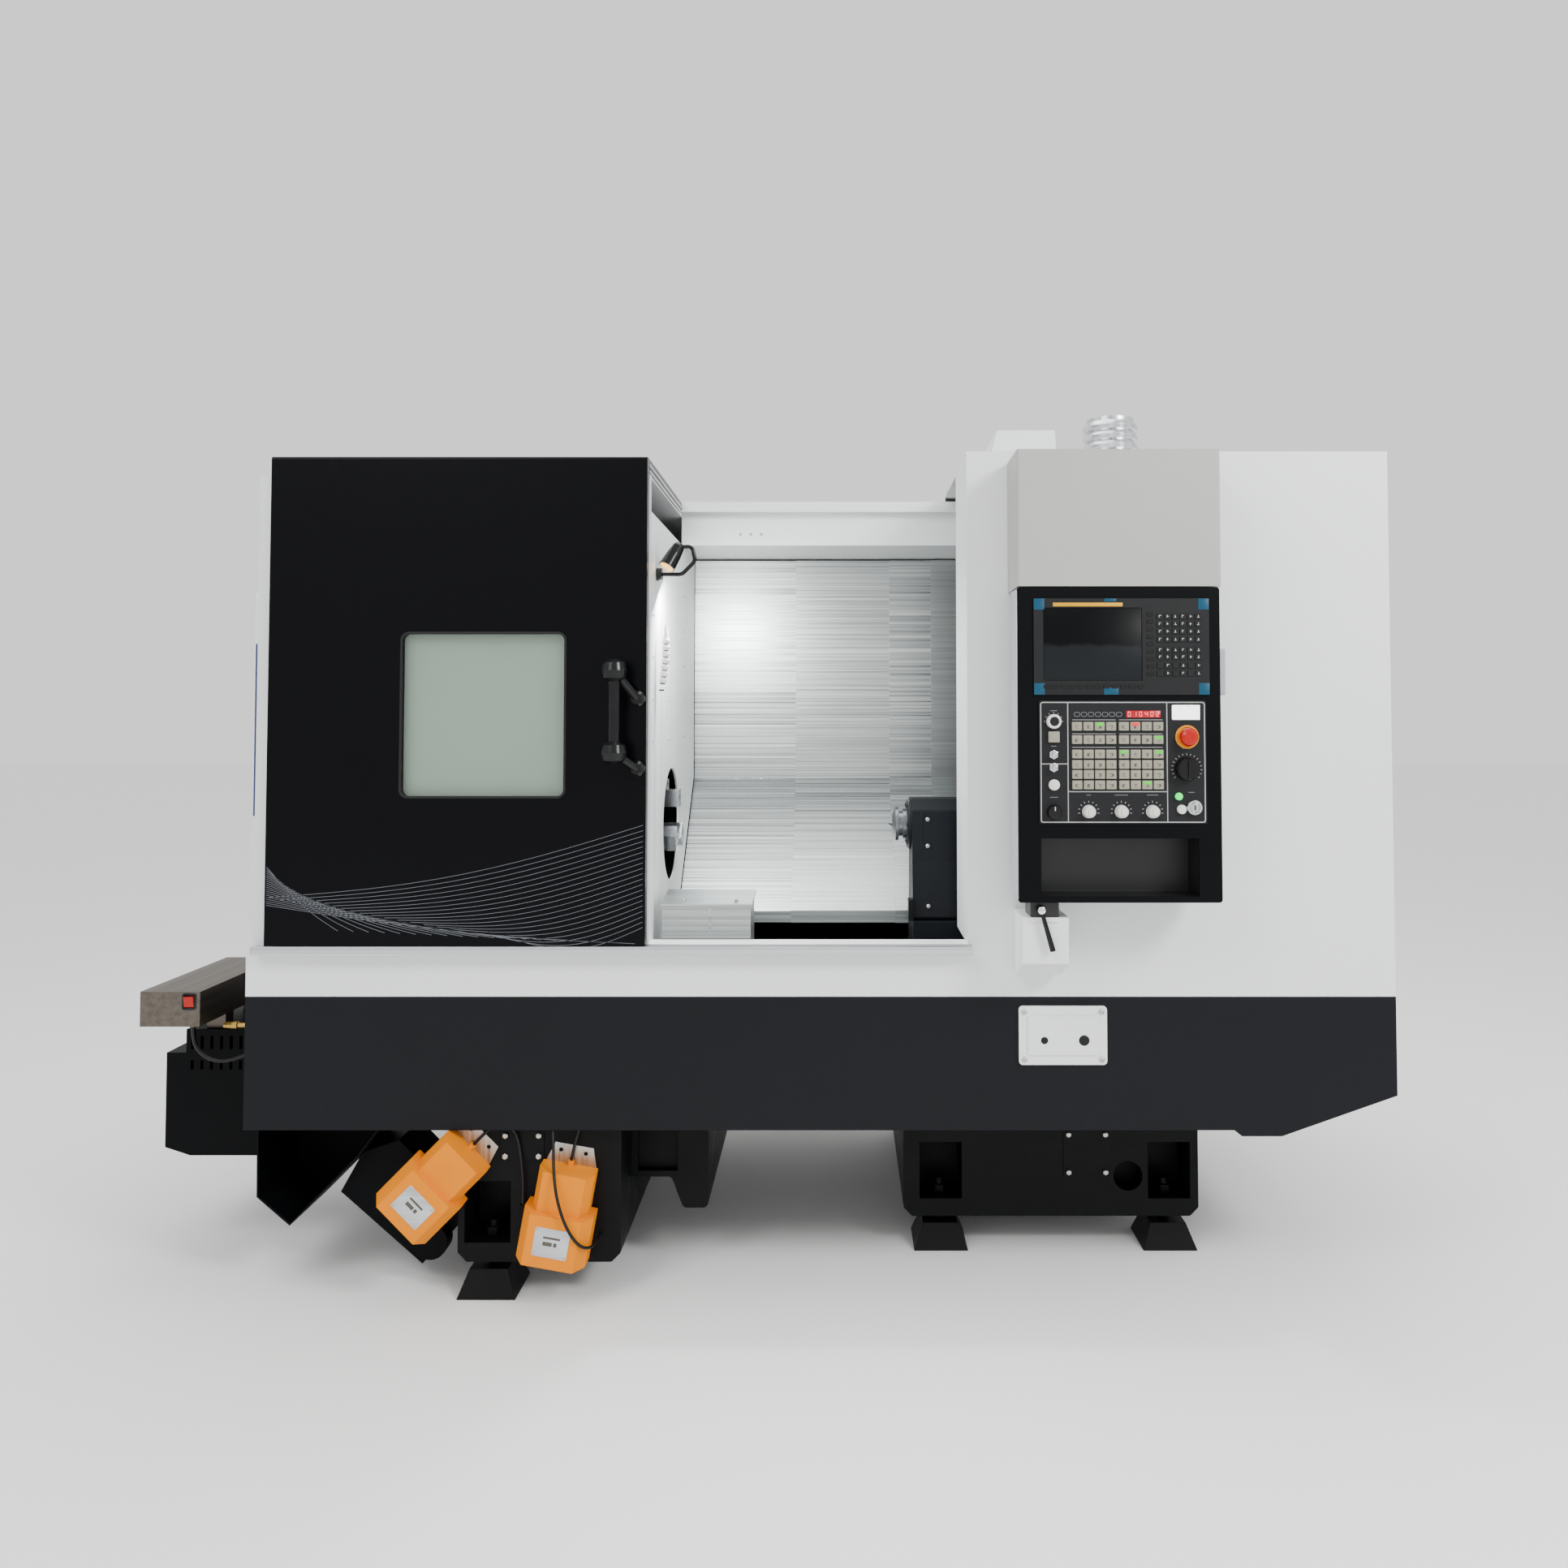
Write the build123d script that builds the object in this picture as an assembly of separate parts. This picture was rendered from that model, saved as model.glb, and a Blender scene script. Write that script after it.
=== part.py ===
from build123d import *
import math
import os

# Driving dimensions in millimetres. X runs along the machine, Y to its back, Z up from the floor.
LENGTH = 3060.0
DEPTH = 1850.0
FRONT = -735.0
BACK = 560.0
SHEET = 3.0
RUNNING_GAP = 0.3
SHAFT_GAP = 0.1
FOOT_HEIGHT = 85.0
BED_UNDERSIDE = 380.0
SKIRT_BOTTOM = 405.0
SKIRT_TOP = 719.0
SKIRT_LEFT = -1207.0
BAND_TOP = 822.0
RAIL_TOP = 843.0
LEFT_GUARD_EDGE = -1190.0
LEFT_GUARD_TOP = 1968.0
GUARD_TOP = 2025.0
OPENING_LEFT = -248.0
OPENING_RIGHT = 513.0
JAMB_DEPTH = 255.0
DOOR_LEFT = -1150.0
DOOR_RIGHT = -252.0
DOOR_FACE = -767.0
DOOR_TOP = 2006.0
WINDOW = ((-834.0, -445.0), (1194.0, 1583.0))
HEADER_FACE = -135.0
HEADER_BOTTOM = 1882.0
HEADER_TOP = 2011.0
COVER_FOOT = (-205.0, 838.0)
COVER_LIP = 800.0
COVER_TOP = 1876.0
COVER_WALL = 151.0
COVER_STEP = 5.0
SPINDLE = (-355.0, 1095.0)
CHUCK_FACE = -290.0
CHUCK_RADIUS = 127.0
JAW_END = -225.0
SADDLE_LEFT = 840.0
SADDLE_RIGHT = 1300.0
TURRET_UP_SLANT = 475.7
PENDANT_FACE = -895.0
PENDANT_BACK = -770.0
PENDANT = ((609.0, 1069.0), (966.0, 1679.0))
PIVOT = (672.0, -825.0)
PEDESTAL_FACE = -705.0
RIGHT_PEDESTAL_FACE = -445.0

RIGHT_EDGE = LENGTH / 2
LEFT_EDGE = -LENGTH / 2
REAR_EDGE = DEPTH / 2
INSIDE = FRONT + SHEET
AXES = {"X": (1, 0, 0), "Y": (0, 1, 0), "Z": (0, 0, 1)}


def spot(axis, along, first, second):
    """The point at a place along an axis, with its two other coordinates in X, Y, Z order."""
    return {"X": (along, first, second), "Y": (first, along, second), "Z": (first, second, along)}[axis]


def prism(outline, axis, low, high):
    """A closed outline carried straight along an axis."""
    corners = [spot(axis, low, *point) for point in outline]
    return extrude(Face(Wire.make_polygon(corners)), amount=high - low, dir=AXES[axis])


def rectangle(first, second):
    """The outline of a rectangle from two (low, high) ranges."""
    return [(first[0], second[0]), (first[1], second[0]), (first[1], second[1]), (first[0], second[1])]


def slab(x, y, z):
    """A rectangular bar from three (low, high) ranges."""
    return prism(rectangle(x, y), "Z", *z)


def rod(axis, centre, radius, low, high):
    """A round bar along an axis."""
    return Solid.make_cylinder(radius, high - low, Plane(origin=spot(axis, low, *centre), z_dir=AXES[axis]))


def turned(outline, axis, centre):
    """An outline of (along, radius) points turned about an axis."""
    blank = revolve(Face(Wire.make_polygon([(radius, 0, along) for along, radius in outline])), Axis.Z)
    return blank.moved(Plane(origin=spot(axis, 0, *centre), z_dir=AXES[axis]).location)


def rounded(solid, axis, radius):
    """A solid with its edges along one axis rounded."""
    direction = {"X": Axis.X, "Y": Axis.Y, "Z": Axis.Z}[axis]
    return fillet(solid.edges().filter_by(direction), radius)


def fused(pieces):
    """One solid from pieces that touch or overlap."""
    whole = pieces[0]
    for piece in pieces[1:]:
        whole = whole + piece
    return whole


def on_slant(up, above):
    """(Y, Z) of a point up the 45 degree bed from the cover's foot and above the cover's plane."""
    half = math.sqrt(0.5)
    return COVER_FOOT[0] + (up - above) * half, COVER_FOOT[1] + (up + above) * half


def slant_prism(outline, low, high):
    """An outline of (up, above) points on the slanted bed carried along X."""
    return prism([on_slant(*point) for point in outline], "X", low, high)


# Pedal cable routes: out of each switch's gland, over behind the skirt, and down to the pedestal.
LEFT_CABLE = [
    (-664.4, -719, 366.6), (-646.4, -719, 384.6), (-628, -718.5, 402), (-608, -718, 415), (-585, -717, 414),
    (-568, -716.5, 398), (-558.5, -716.5, 371), (-553, -716.5, 338), (-549, -717, 306), (-546.5, -717.5, 278),
    (-546, -718, 251), (-546, -718, 225),
]
RIGHT_CABLE = [
    (-431.92, -719, 329.5), (-427.3, -719, 355.6), (-419, -719, 383), (-411, -719, 411), (-416, -719, 438),
    (-435, -719.5, 454), (-459, -720, 450), (-473, -721, 431), (-475, -725, 408), (-471, -737, 386),
    (-466, -756, 364), (-461, -776, 340), (-455, -793, 313), (-448, -804, 282), (-438, -809, 249),
    (-425, -812, 216), (-409, -810, 186), (-392, -799, 161), (-377, -779, 149), (-368, -753, 147),
    (-364, -728, 150), (-364, PEDESTAL_FACE, 150),
]

# Bed casting: a slanted bed with two box ways, a flat tailstock way and two pedestals.
BED_LEFT = -1110.0
BED_RIGHT = 1330.0
BED_BACK = 430.0
BED_SURFACE = -140.0
WAY_TOP = -100.0
WAYS = ((20.0, 90.0), (430.0, 500.0))
TAIL_WAY = (-345.0, -235.0)
TAIL_WAY_TOP = 745.0
LEFT_PEDESTAL = (-705.0, -315.0)
RIGHT_PEDESTAL = (374.0, 1142.0)
POCKET_Z = (130.0, 275.0)
POCKET_HALF = 55.0
LEFT_FOOT_X = -634.0
RIGHT_FEET_X = (471.0, 1066.0)
REAR_FOOT_Y = BED_BACK - 60.0
LEFT_FOOT_Y = PEDESTAL_FACE + 60.0
RIGHT_FOOT_Y = RIGHT_PEDESTAL_FACE + 60.0
FRONT_FEET = [(LEFT_FOOT_X, LEFT_FOOT_Y), *((x, RIGHT_FOOT_Y) for x in RIGHT_FEET_X)]
REAR_FEET = [(x, REAR_FOOT_Y) for x in (LEFT_FOOT_X, *RIGHT_FEET_X)]
SCREW_RADIUS = 12.0
OVERHANG_BOTTOM = 520.0


def pedestal(x, face):
    """A cast pedestal with softened lower corners."""
    corner = 22.0
    outline = [
        (x[0], BED_UNDERSIDE + 20), (x[0], FOOT_HEIGHT + corner), (x[0] + corner, FOOT_HEIGHT),
        (x[1] - corner, FOOT_HEIGHT), (x[1], FOOT_HEIGHT + corner), (x[1], BED_UNDERSIDE + 20),
    ]
    return rounded(prism(outline, "Y", face, BED_BACK), "Y", 9.0)


def bed_casting():
    """Slanted bed with its ways, bolted on a left pedestal with a side web and a wide right pedestal."""
    foot = on_slant(-60, BED_SURFACE)
    head = on_slant(700, BED_SURFACE)
    section = [
        (RIGHT_PEDESTAL_FACE, BED_UNDERSIDE), (RIGHT_PEDESTAL_FACE, 620), (TAIL_WAY[1], foot[1]),
        foot, head, (BED_BACK, head[1]), (BED_BACK, BED_UNDERSIDE),
    ]
    ways_left = OPENING_LEFT + 8
    bed = prism(section, "X", BED_LEFT, BED_RIGHT)
    bed = bed + slab((ways_left, BED_RIGHT), TAIL_WAY, (600, TAIL_WAY_TOP))
    overhang = (RIGHT_PEDESTAL[1], BED_RIGHT + 1)
    bed = bed - slab(overhang, (RIGHT_PEDESTAL_FACE - 1, BED_BACK + 1), (BED_UNDERSIDE - 1, OVERHANG_BOTTOM))
    for low, high in WAYS:
        bed = bed + slant_prism(rectangle((low, high), (BED_SURFACE, WAY_TOP)), ways_left, BED_RIGHT)
    web = [(-320, 400), (-320, 230), (-215, 230), (-185, 153), (-122, 153), (-122, 400)]
    web_face = -560.0
    left = pedestal(LEFT_PEDESTAL, PEDESTAL_FACE) + rounded(prism(web, "Y", web_face, 300), "Y", 14.0)
    left = left - slab((-300, -200), (web_face - 1, web_face + 20), (245, 372))
    left = left + slab((-604, -500), (PEDESTAL_FACE - SHEET, PEDESTAL_FACE), (323, 396))
    gland_x, gland_y, gland_top = LEFT_CABLE[-1]
    gland_z = (gland_top - 20, gland_top)
    left = left + rod("Z", (gland_x, gland_y), 7, *gland_z)
    left = left + slab((gland_x - 7, gland_x + 7), (gland_y, PEDESTAL_FACE + 1), gland_z)
    right = pedestal(RIGHT_PEDESTAL, RIGHT_PEDESTAL_FACE)
    right = right + slab((791, 913), (RIGHT_PEDESTAL_FACE - SHEET, RIGHT_PEDESTAL_FACE), (186, 309))
    right = right - rod("Y", (959, 188), 38, RIGHT_PEDESTAL_FACE - 1, RIGHT_PEDESTAL_FACE + 60)
    for x, y in FRONT_FEET:
        pocket = slab((x - POCKET_HALF, x + POCKET_HALF), (y - 61, y + 60), POCKET_Z)
        left = left - pocket
        right = right - pocket
    for x, y in FRONT_FEET + REAR_FEET:
        hole = rod("Z", (x, y), SCREW_RADIUS + 1, FOOT_HEIGHT - 1, POCKET_Z[0] + 1)
        left = left - hole
        right = right - hole
    return [bed, left - bed, right - bed]


def levelling_feet():
    """Six tapered pads under levelling screws; the front screws have a second nut in the pedestal's pocket."""
    pad_top = 62.0
    nut = 18.0
    solids = []
    for x, y in FRONT_FEET + REAR_FEET:
        taper = loft([Pos(x, y, 0) * Rectangle(140, 140), Pos(x, y, pad_top) * Rectangle(92, 92)])
        in_pocket = (x, y) in FRONT_FEET
        screw_top = POCKET_Z[0] + 34 if in_pocket else POCKET_Z[0]
        screw = rod("Z", (x, y), SCREW_RADIUS, pad_top, screw_top)
        for low in [FOOT_HEIGHT - nut, POCKET_Z[0]][:1 + in_pocket]:
            screw = screw + extrude(Pos(x, y, low) * RegularPolygon(21, 6), amount=nut)
        solids += [taper, screw]
    return solids


# Guards: folded and painted sheet round the whole machine.
SLOPE_LEFT = (1255.0, 391.0)
SLOPE_RIGHT_Z = 486.0
TANK_LEFT = 1160.0


def base_skirt():
    """Front and end sheets; at the right the sheet turns under as a sloping tank bottom."""
    outer = [
        (SKIRT_LEFT, SKIRT_TOP), (RIGHT_EDGE, SKIRT_TOP), (RIGHT_EDGE, SLOPE_RIGHT_Z), SLOPE_LEFT,
        (TANK_LEFT, SLOPE_LEFT[1]), (TANK_LEFT - 18, SKIRT_BOTTOM), (SKIRT_LEFT, SKIRT_BOTTOM),
    ]
    rise = (SLOPE_RIGHT_Z - SLOPE_LEFT[1]) / (RIGHT_EDGE - SLOPE_LEFT[0])
    lift = SHEET * math.hypot(1, rise)
    inner = [
        (SKIRT_LEFT + SHEET, SKIRT_TOP + 1), (RIGHT_EDGE - SHEET, SKIRT_TOP + 1),
        (RIGHT_EDGE - SHEET, SLOPE_RIGHT_Z + lift), (SLOPE_LEFT[0], SLOPE_LEFT[1] + lift),
        (TANK_LEFT + SHEET, SLOPE_LEFT[1] + lift), (TANK_LEFT + SHEET, SLOPE_LEFT[1] - 9),
        (SKIRT_LEFT + SHEET, SLOPE_LEFT[1] - 9),
    ]
    return prism(outer, "Y", FRONT, BACK) - prism(inner, "Y", INSIDE, BACK + 1)


def front_guard():
    """White front: band under the opening, fixed left panel, and right panel with a deep folded jamb."""
    face = [
        (SKIRT_LEFT, SKIRT_TOP), (RIGHT_EDGE, SKIRT_TOP), (RIGHT_EDGE, GUARD_TOP), (OPENING_RIGHT, GUARD_TOP),
        (OPENING_RIGHT, RAIL_TOP), (OPENING_LEFT, RAIL_TOP), (OPENING_LEFT, LEFT_GUARD_TOP),
        (LEFT_GUARD_EDGE, LEFT_GUARD_TOP), (LEFT_GUARD_EDGE, BAND_TOP), (SKIRT_LEFT, BAND_TOP),
    ]
    sill_top = (RAIL_TOP - SHEET, RAIL_TOP)
    sill = slab((OPENING_LEFT, OPENING_RIGHT), (FRONT, FRONT + 60), sill_top)
    jamb = slab((OPENING_RIGHT, OPENING_RIGHT + SHEET), (FRONT, FRONT + JAMB_DEPTH), (sill_top[0], GUARD_TOP))
    return fused([prism(face, "Y", FRONT, INSIDE), sill, jamb])


def door_track():
    """Lower aluminium rail: a channel with two running lips along the band."""
    section = [
        (FRONT, BAND_TOP), (FRONT, RAIL_TOP), (FRONT - 4, RAIL_TOP), (FRONT - 6, RAIL_TOP - 10),
        (FRONT - 26, RAIL_TOP - 10), (FRONT - 28, RAIL_TOP), (FRONT - 34, RAIL_TOP), (FRONT - 34, BAND_TOP),
    ]
    return prism(section, "X", DOOR_LEFT - 32, OPENING_RIGHT + 8)


def left_end_guard():
    """Left wall and roof over the headstock, with a raised cover over the chuck's actuator."""
    wall = LEFT_GUARD_EDGE - SHEET
    shell = [
        (wall, SKIRT_TOP), (wall, LEFT_GUARD_TOP), (OPENING_LEFT - 4, LEFT_GUARD_TOP),
        (OPENING_LEFT - 4, LEFT_GUARD_TOP - SHEET), (LEFT_GUARD_EDGE, LEFT_GUARD_TOP - SHEET),
        (LEFT_GUARD_EDGE, SKIRT_TOP + SHEET), (LEFT_GUARD_EDGE + 20, SKIRT_TOP + SHEET),
        (LEFT_GUARD_EDGE + 20, SKIRT_TOP),
    ]
    guard = prism(shell, "Y", INSIDE, BACK)
    hood_left = -1285.0
    hood = [(-560, 860), (300, 860), (300, 1690), (250, 1740), (-510, 1740), (-560, 1690)]
    inside = [(-557, 863), (297, 863), (297, 1689), (249, 1737), (-509, 1737), (-557, 1689)]
    raised = prism(hood, "X", hood_left, wall + 1)
    return (guard + raised) - prism(inside, "X", hood_left + SHEET, LEFT_GUARD_EDGE + 1)


def right_end_guard():
    """Right wall and roof, with the chamfered box that stands on the roof."""
    left = OPENING_RIGHT + SHEET
    shell = [
        (left, GUARD_TOP - SHEET), (left, GUARD_TOP), (RIGHT_EDGE, GUARD_TOP), (RIGHT_EDGE, SKIRT_TOP),
        (RIGHT_EDGE - SHEET, SKIRT_TOP), (RIGHT_EDGE - SHEET, GUARD_TOP - SHEET),
    ]
    box = [(610, GUARD_TOP), (649, 2185), (811, 2185), (820, GUARD_TOP)]
    return prism(shell, "Y", INSIDE, BACK) + prism(box, "Y", FRONT + 450, FRONT + 800)


def rear_guard():
    """Back wall, with the header beam over the work area and the roof behind it."""
    wall = [
        (LEFT_GUARD_EDGE - SHEET, SKIRT_TOP), (RIGHT_EDGE, SKIRT_TOP), (RIGHT_EDGE, GUARD_TOP),
        (OPENING_RIGHT + SHEET, GUARD_TOP), (OPENING_RIGHT + SHEET, HEADER_TOP),
        (OPENING_LEFT - 4, HEADER_TOP), (OPENING_LEFT - 4, LEFT_GUARD_TOP),
        (LEFT_GUARD_EDGE - SHEET, LEFT_GUARD_TOP),
    ]
    ledge = 1979.0
    beam = [
        (BACK, HEADER_TOP), (HEADER_FACE, HEADER_TOP), (HEADER_FACE, ledge), (HEADER_FACE - 26, ledge),
        (HEADER_FACE - 26, ledge - SHEET), (HEADER_FACE, ledge - SHEET), (HEADER_FACE, HEADER_BOTTOM),
        (COVER_WALL + 30, HEADER_BOTTOM), (COVER_WALL + 30, HEADER_BOTTOM + SHEET),
        (HEADER_FACE + SHEET, HEADER_BOTTOM + SHEET), (HEADER_FACE + SHEET, HEADER_TOP - SHEET),
        (BACK, HEADER_TOP - SHEET),
    ]
    return prism(wall, "Y", BACK, BACK + SHEET) + prism(beam, "X", OPENING_LEFT - 4, OPENING_RIGHT)


def service_plate():
    """Painted plate with a raised middle, four screws and two plugged cable holes on the skirt."""
    x = (632.0, 841.0)
    z = (560.0, 698.0)
    middle = ((652.5, 820.5), (583.0, 675.0))
    face = FRONT - 6
    plate = rounded(prism(rectangle(x, z), "Y", face, FRONT), "Y", 9.0)
    plate = plate + rounded(prism(rectangle(*middle), "Y", face - SHEET, face), "Y", 6.0)
    for hole_x, radius in ((692, 8.5), (786, 12.5)):
        plate = plate - rod("Y", (hole_x, 618), radius, face - SHEET - 1, FRONT + 1)
    for screw_x in (x[0] + 13, x[1] - 13):
        for screw_z in (z[0] + 13, z[1] - 13):
            plate = plate + rod("Y", (screw_x, screw_z), 6, face - SHEET, face)
    return plate


# Sliding door: a folded front and roof, a bonded window and a cranked pull handle.
DOOR_DEPTH = 28.0
DOOR_ROOF = 24.0
DOOR_BACK = HEADER_FACE - 5.0
WINDOW_CORNER = 18.0


def door_panel():
    """Folded front and roof with a round-cornered window cut-out."""
    bottom = RAIL_TOP + 1
    under_roof = DOOR_TOP - DOOR_ROOF
    inside = DOOR_FACE + DOOR_DEPTH
    section = [
        (DOOR_FACE, bottom), (DOOR_FACE, DOOR_TOP), (DOOR_BACK, DOOR_TOP), (DOOR_BACK, under_roof),
        (inside, under_roof), (inside, bottom),
    ]
    door = prism(section, "X", DOOR_LEFT, DOOR_RIGHT)
    front_top = door.edges().filter_by(Axis.X).group_by(Axis.Z)[-1].sort_by(Axis.Y)[0]
    door = fillet(front_top, 6.0)
    return door - rounded(prism(rectangle(*WINDOW), "Y", DOOR_FACE - 1, inside + 1), "Y", WINDOW_CORNER)


def door_window():
    """Laminated pane that fills the cut-out, set back from the door's face."""
    pane = prism(rectangle(*WINDOW), "Y", DOOR_FACE + 6, DOOR_FACE + 20)
    return rounded(pane, "Y", WINDOW_CORNER)


def door_handle():
    """Cranked pull handle: two bolted feet, two slanted arms and a round grip between bulbous hubs."""
    grip_x = -317.0
    grip_y = DOOR_FACE - 62.0
    feet_x = -272.0
    hub_levels = (1492.0, 1301.0)
    foot_levels = (1427.0, 1262.0)
    hub = [(-26, 0.0), (-26, 15), (-18, 26), (0, 30), (18, 26), (26, 15), (26, 0.0)]
    foot = [(-22, 0.0), (-22, 13), (-14, 19), (0, 19), (0, 0.0)]
    pieces = [rod("Z", (grip_x, grip_y), 13, *hub_levels[::-1])]
    for hub_z, foot_z in zip(hub_levels, foot_levels):
        pieces.append(turned([(hub_z + along, radius) for along, radius in hub], "Z", (grip_x, grip_y)))
        pieces.append(turned([(DOOR_FACE + along, radius) for along, radius in foot], "Y", (feet_x, foot_z)))
        start = Vector(feet_x, DOOR_FACE - 12, foot_z)
        reach = Vector(grip_x, grip_y, hub_z) - start
        pieces.append(Solid.make_cylinder(10, reach.length, Plane(origin=start, z_dir=reach)))
    return fused(pieces)


# Work area: left wall, slanted telescopic covers, chip tray and small fittings.
WALL_X = (OPENING_LEFT - 4.0, OPENING_LEFT)
RECESS_RADIUS = 150.0


def inner_wall():
    """Stainless left wall with a round recess for the chuck."""
    outline = [(INSIDE, 803), (INSIDE, 1880), (148, 1880), (148, 1194), (-210, 836), (-210, 803)]
    wall = prism(outline, "X", *WALL_X) - rod("X", SPINDLE, RECESS_RADIUS, WALL_X[0] - 1, WALL_X[1] + 1)
    outer = RECESS_RADIUS + 4
    collar = [(-416, RECESS_RADIUS), (-416, outer), (WALL_X[0], outer), (WALL_X[0], RECESS_RADIUS)]
    return wall + turned(collar, "X", SPINDLE)


def cover_sheet(layer, low, high):
    """One plate of the telescopic cover: lip, 45 degree slope and back wall, a layer behind the front plate."""
    lines = []
    for back in (layer * COVER_STEP, layer * COVER_STEP + SHEET):
        bend = back * (math.sqrt(2) - 1)
        foot_y = COVER_FOOT[0] + back
        wall_y = COVER_WALL + back
        foot_z = COVER_FOOT[1] - bend
        slope_top = foot_z + COVER_WALL - COVER_FOOT[0]
        lines.append([(foot_y, COVER_LIP), (foot_y, foot_z), (wall_y, slope_top), (wall_y, COVER_TOP)])
    return prism(lines[0] + lines[1][::-1], "X", low, high)


def chip_tray():
    """Stainless trough under the work area, with a flat shelf along the front."""
    top = [(INSIDE, 803), (-535, 803), (-472, 706), (-405, 706), (-382, 724)]
    under = [(y, z - SHEET) for y, z in top]
    return prism(top + under[::-1], "X", OPENING_LEFT, 1400)


def tool_setter_box():
    """Stainless cover of the tool probe, with a sloping lid and an overlapping seam."""
    body = prism([(-668, 803), (-668, 925), (-540, 940), (-540, 803)], "X", -226, -10)
    lid = prism([(-672, 922), (-672, 928), (-536, 944), (-536, 938)], "X", -230, -6)
    seam = slab((-112, -106), (-670, -668), (803, 922))
    return fused([body, lid, seam])


FITTINGS_Y = -640.0


def work_lamp():
    """Machine lamp: round base on the left wall, a looped gooseneck and a flared head that looks down."""
    level = 1738.0
    base = rod("X", (FITTINGS_Y, level), 16, OPENING_LEFT, OPENING_LEFT + 14)
    loop = [(OPENING_LEFT + 13, level), (-185, level), (-152, 1772), (-160, 1808), (-196, 1806)]
    route = FilletPolyline(*((x, FITTINGS_Y, z) for x, z in loop), radius=[20, 18, 14])
    arm = sweep(Plane(origin=route @ 0, z_dir=route % 0) * Circle(5), path=route)
    head = turned([(-8, 0.0), (-8, 11), (0, 15), (22, 18), (62, 21), (62, 0.0)], "Z", (0, 0))
    aim = Plane(origin=(-194, FITTINGS_Y, 1806), z_dir=(-0.42, -0.35, -0.84))
    return fused([base, arm, head.moved(aim.location)])


def coolant_hose():
    """Segmented coolant hose: a string of ball joints that rises from the wall and ends in a nozzle."""
    beads = 9
    bead_radius = 9.5
    foot_z = 1442.0
    climb = 130.0
    pieces = [rod("X", (FITTINGS_Y, foot_z), 12, OPENING_LEFT, OPENING_LEFT + 14)]
    for bead in range(beads):
        share = bead / (beads - 1)
        centre = (-236 + 12 * share * (2 - share), FITTINGS_Y, foot_z + climb * share)
        pieces.append(Pos(*centre) * Sphere(bead_radius))
    tip = [(foot_z + climb, 0.0), (foot_z + climb, 8), (foot_z + climb + 39, 3), (foot_z + climb + 39, 0.0)]
    return fused([*pieces, turned(tip, "Z", (-224, FITTINGS_Y))])


# Headstock, spindle and chuck.
def headstock():
    """Slanted headstock casting with the finned housing of the built-in motor behind it."""
    section = [
        (-60, BED_SURFACE), (290, BED_SURFACE), (290, 380), (220, 460), (-50, 460), (-110, 400), (-110, -60),
    ]
    casting = slant_prism(section, -760, -420)
    fins = 7
    pitch = 38.0
    outline = [(-1085, 0.0), (-1085, 195)]
    for fin in range(fins):
        start = -1070 + fin * pitch
        outline += [(start, 195), (start, 222), (start + 16, 222), (start + 16, 195)]
    outline += [(-760, 195), (-760, 0.0)]
    saddle_foot = slant_prism([(-60, BED_SURFACE), (220, BED_SURFACE), (180, 120), (-20, 120)], -1085, -760)
    body = fused([casting, turned(outline, "X", SPINDLE), saddle_foot])
    return body - rod("X", SPINDLE, 75 + SHAFT_GAP, -1100, -400)


def spindle():
    """Hollow spindle with its nose flange and the chuck's hydraulic cylinder at the tail."""
    outline = [
        (-1180, 26), (-1180, 84), (-1172, 92), (-1098, 92), (-1090, 84), (-1090, 75), (-419, 75), (-419, 100),
        (-390, 100), (-390, 26),
    ]
    return turned(outline, "X", SPINDLE)


SLOT_NECK = 11.0
SLOT_HEAD = 18.0
SLOT_DEPTHS = (15.0, 32.0)


def about_spindle(shape, angle):
    """A shape turned about the spindle's axis."""
    return shape.rotate(Axis((0, *SPINDLE), (1, 0, 0)), angle)


def tee(gap, low, high):
    """A radial tee that points up from the spindle's axis: narrow at the chuck's face, wide below it."""
    face = CHUCK_FACE
    step = face - SLOT_DEPTHS[0] + gap
    floor = face - SLOT_DEPTHS[1] + gap
    neck = SLOT_NECK - gap
    head = SLOT_HEAD - gap
    y = SPINDLE[0]
    outline = [
        (face, y - neck), (face, y + neck), (step - 2 * gap, y + neck), (step - 2 * gap, y + head),
        (floor, y + head), (floor, y - head), (step - 2 * gap, y - head), (step - 2 * gap, y - neck),
    ]
    return prism(outline, "Z", SPINDLE[1] + low, SPINDLE[1] + high)


def chuck_body():
    outline = [
        (-390, 38), (-390, 118), (-382, CHUCK_RADIUS), (CHUCK_FACE - 8, CHUCK_RADIUS), (CHUCK_FACE, 119),
        (CHUCK_FACE, 38),
    ]
    chuck = turned(outline, "X", SPINDLE)
    for station in range(3):
        chuck = chuck - about_spindle(tee(0.0, 30, CHUCK_RADIUS + 5), 120 * station)
    return chuck


def jaw(station):
    """Hard jaw: tee foot, stepped gripping block and two bolt counterbores."""
    y, z = SPINDLE
    seat = CHUCK_FACE + RUNNING_GAP
    block = [
        (seat, z + 46), (seat, z + 120), (-258, z + 120), (-258, z + 92), (JAW_END, z + 92), (JAW_END, z + 46),
    ]
    solid = prism(block, "Y", y - 24, y + 24) + tee(RUNNING_GAP, 52, 114)
    neck = SLOT_NECK - RUNNING_GAP
    solid = solid + slab((CHUCK_FACE - 1, seat), (y - neck, y + neck), (z + 52, z + 114))
    for depth, height in ((JAW_END - 20, 70), (-258 - 14, 106)):
        solid = solid - rod("X", (y, z + height), 8, depth, JAW_END + 1)
    return about_spindle(solid, 120 * station)


# Tailstock on its flat way.
TAIL_X = (400.0, 560.0)
TAIL_BASE_RIGHT = 700.0
QUILL_RADIUS = 46.0


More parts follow.
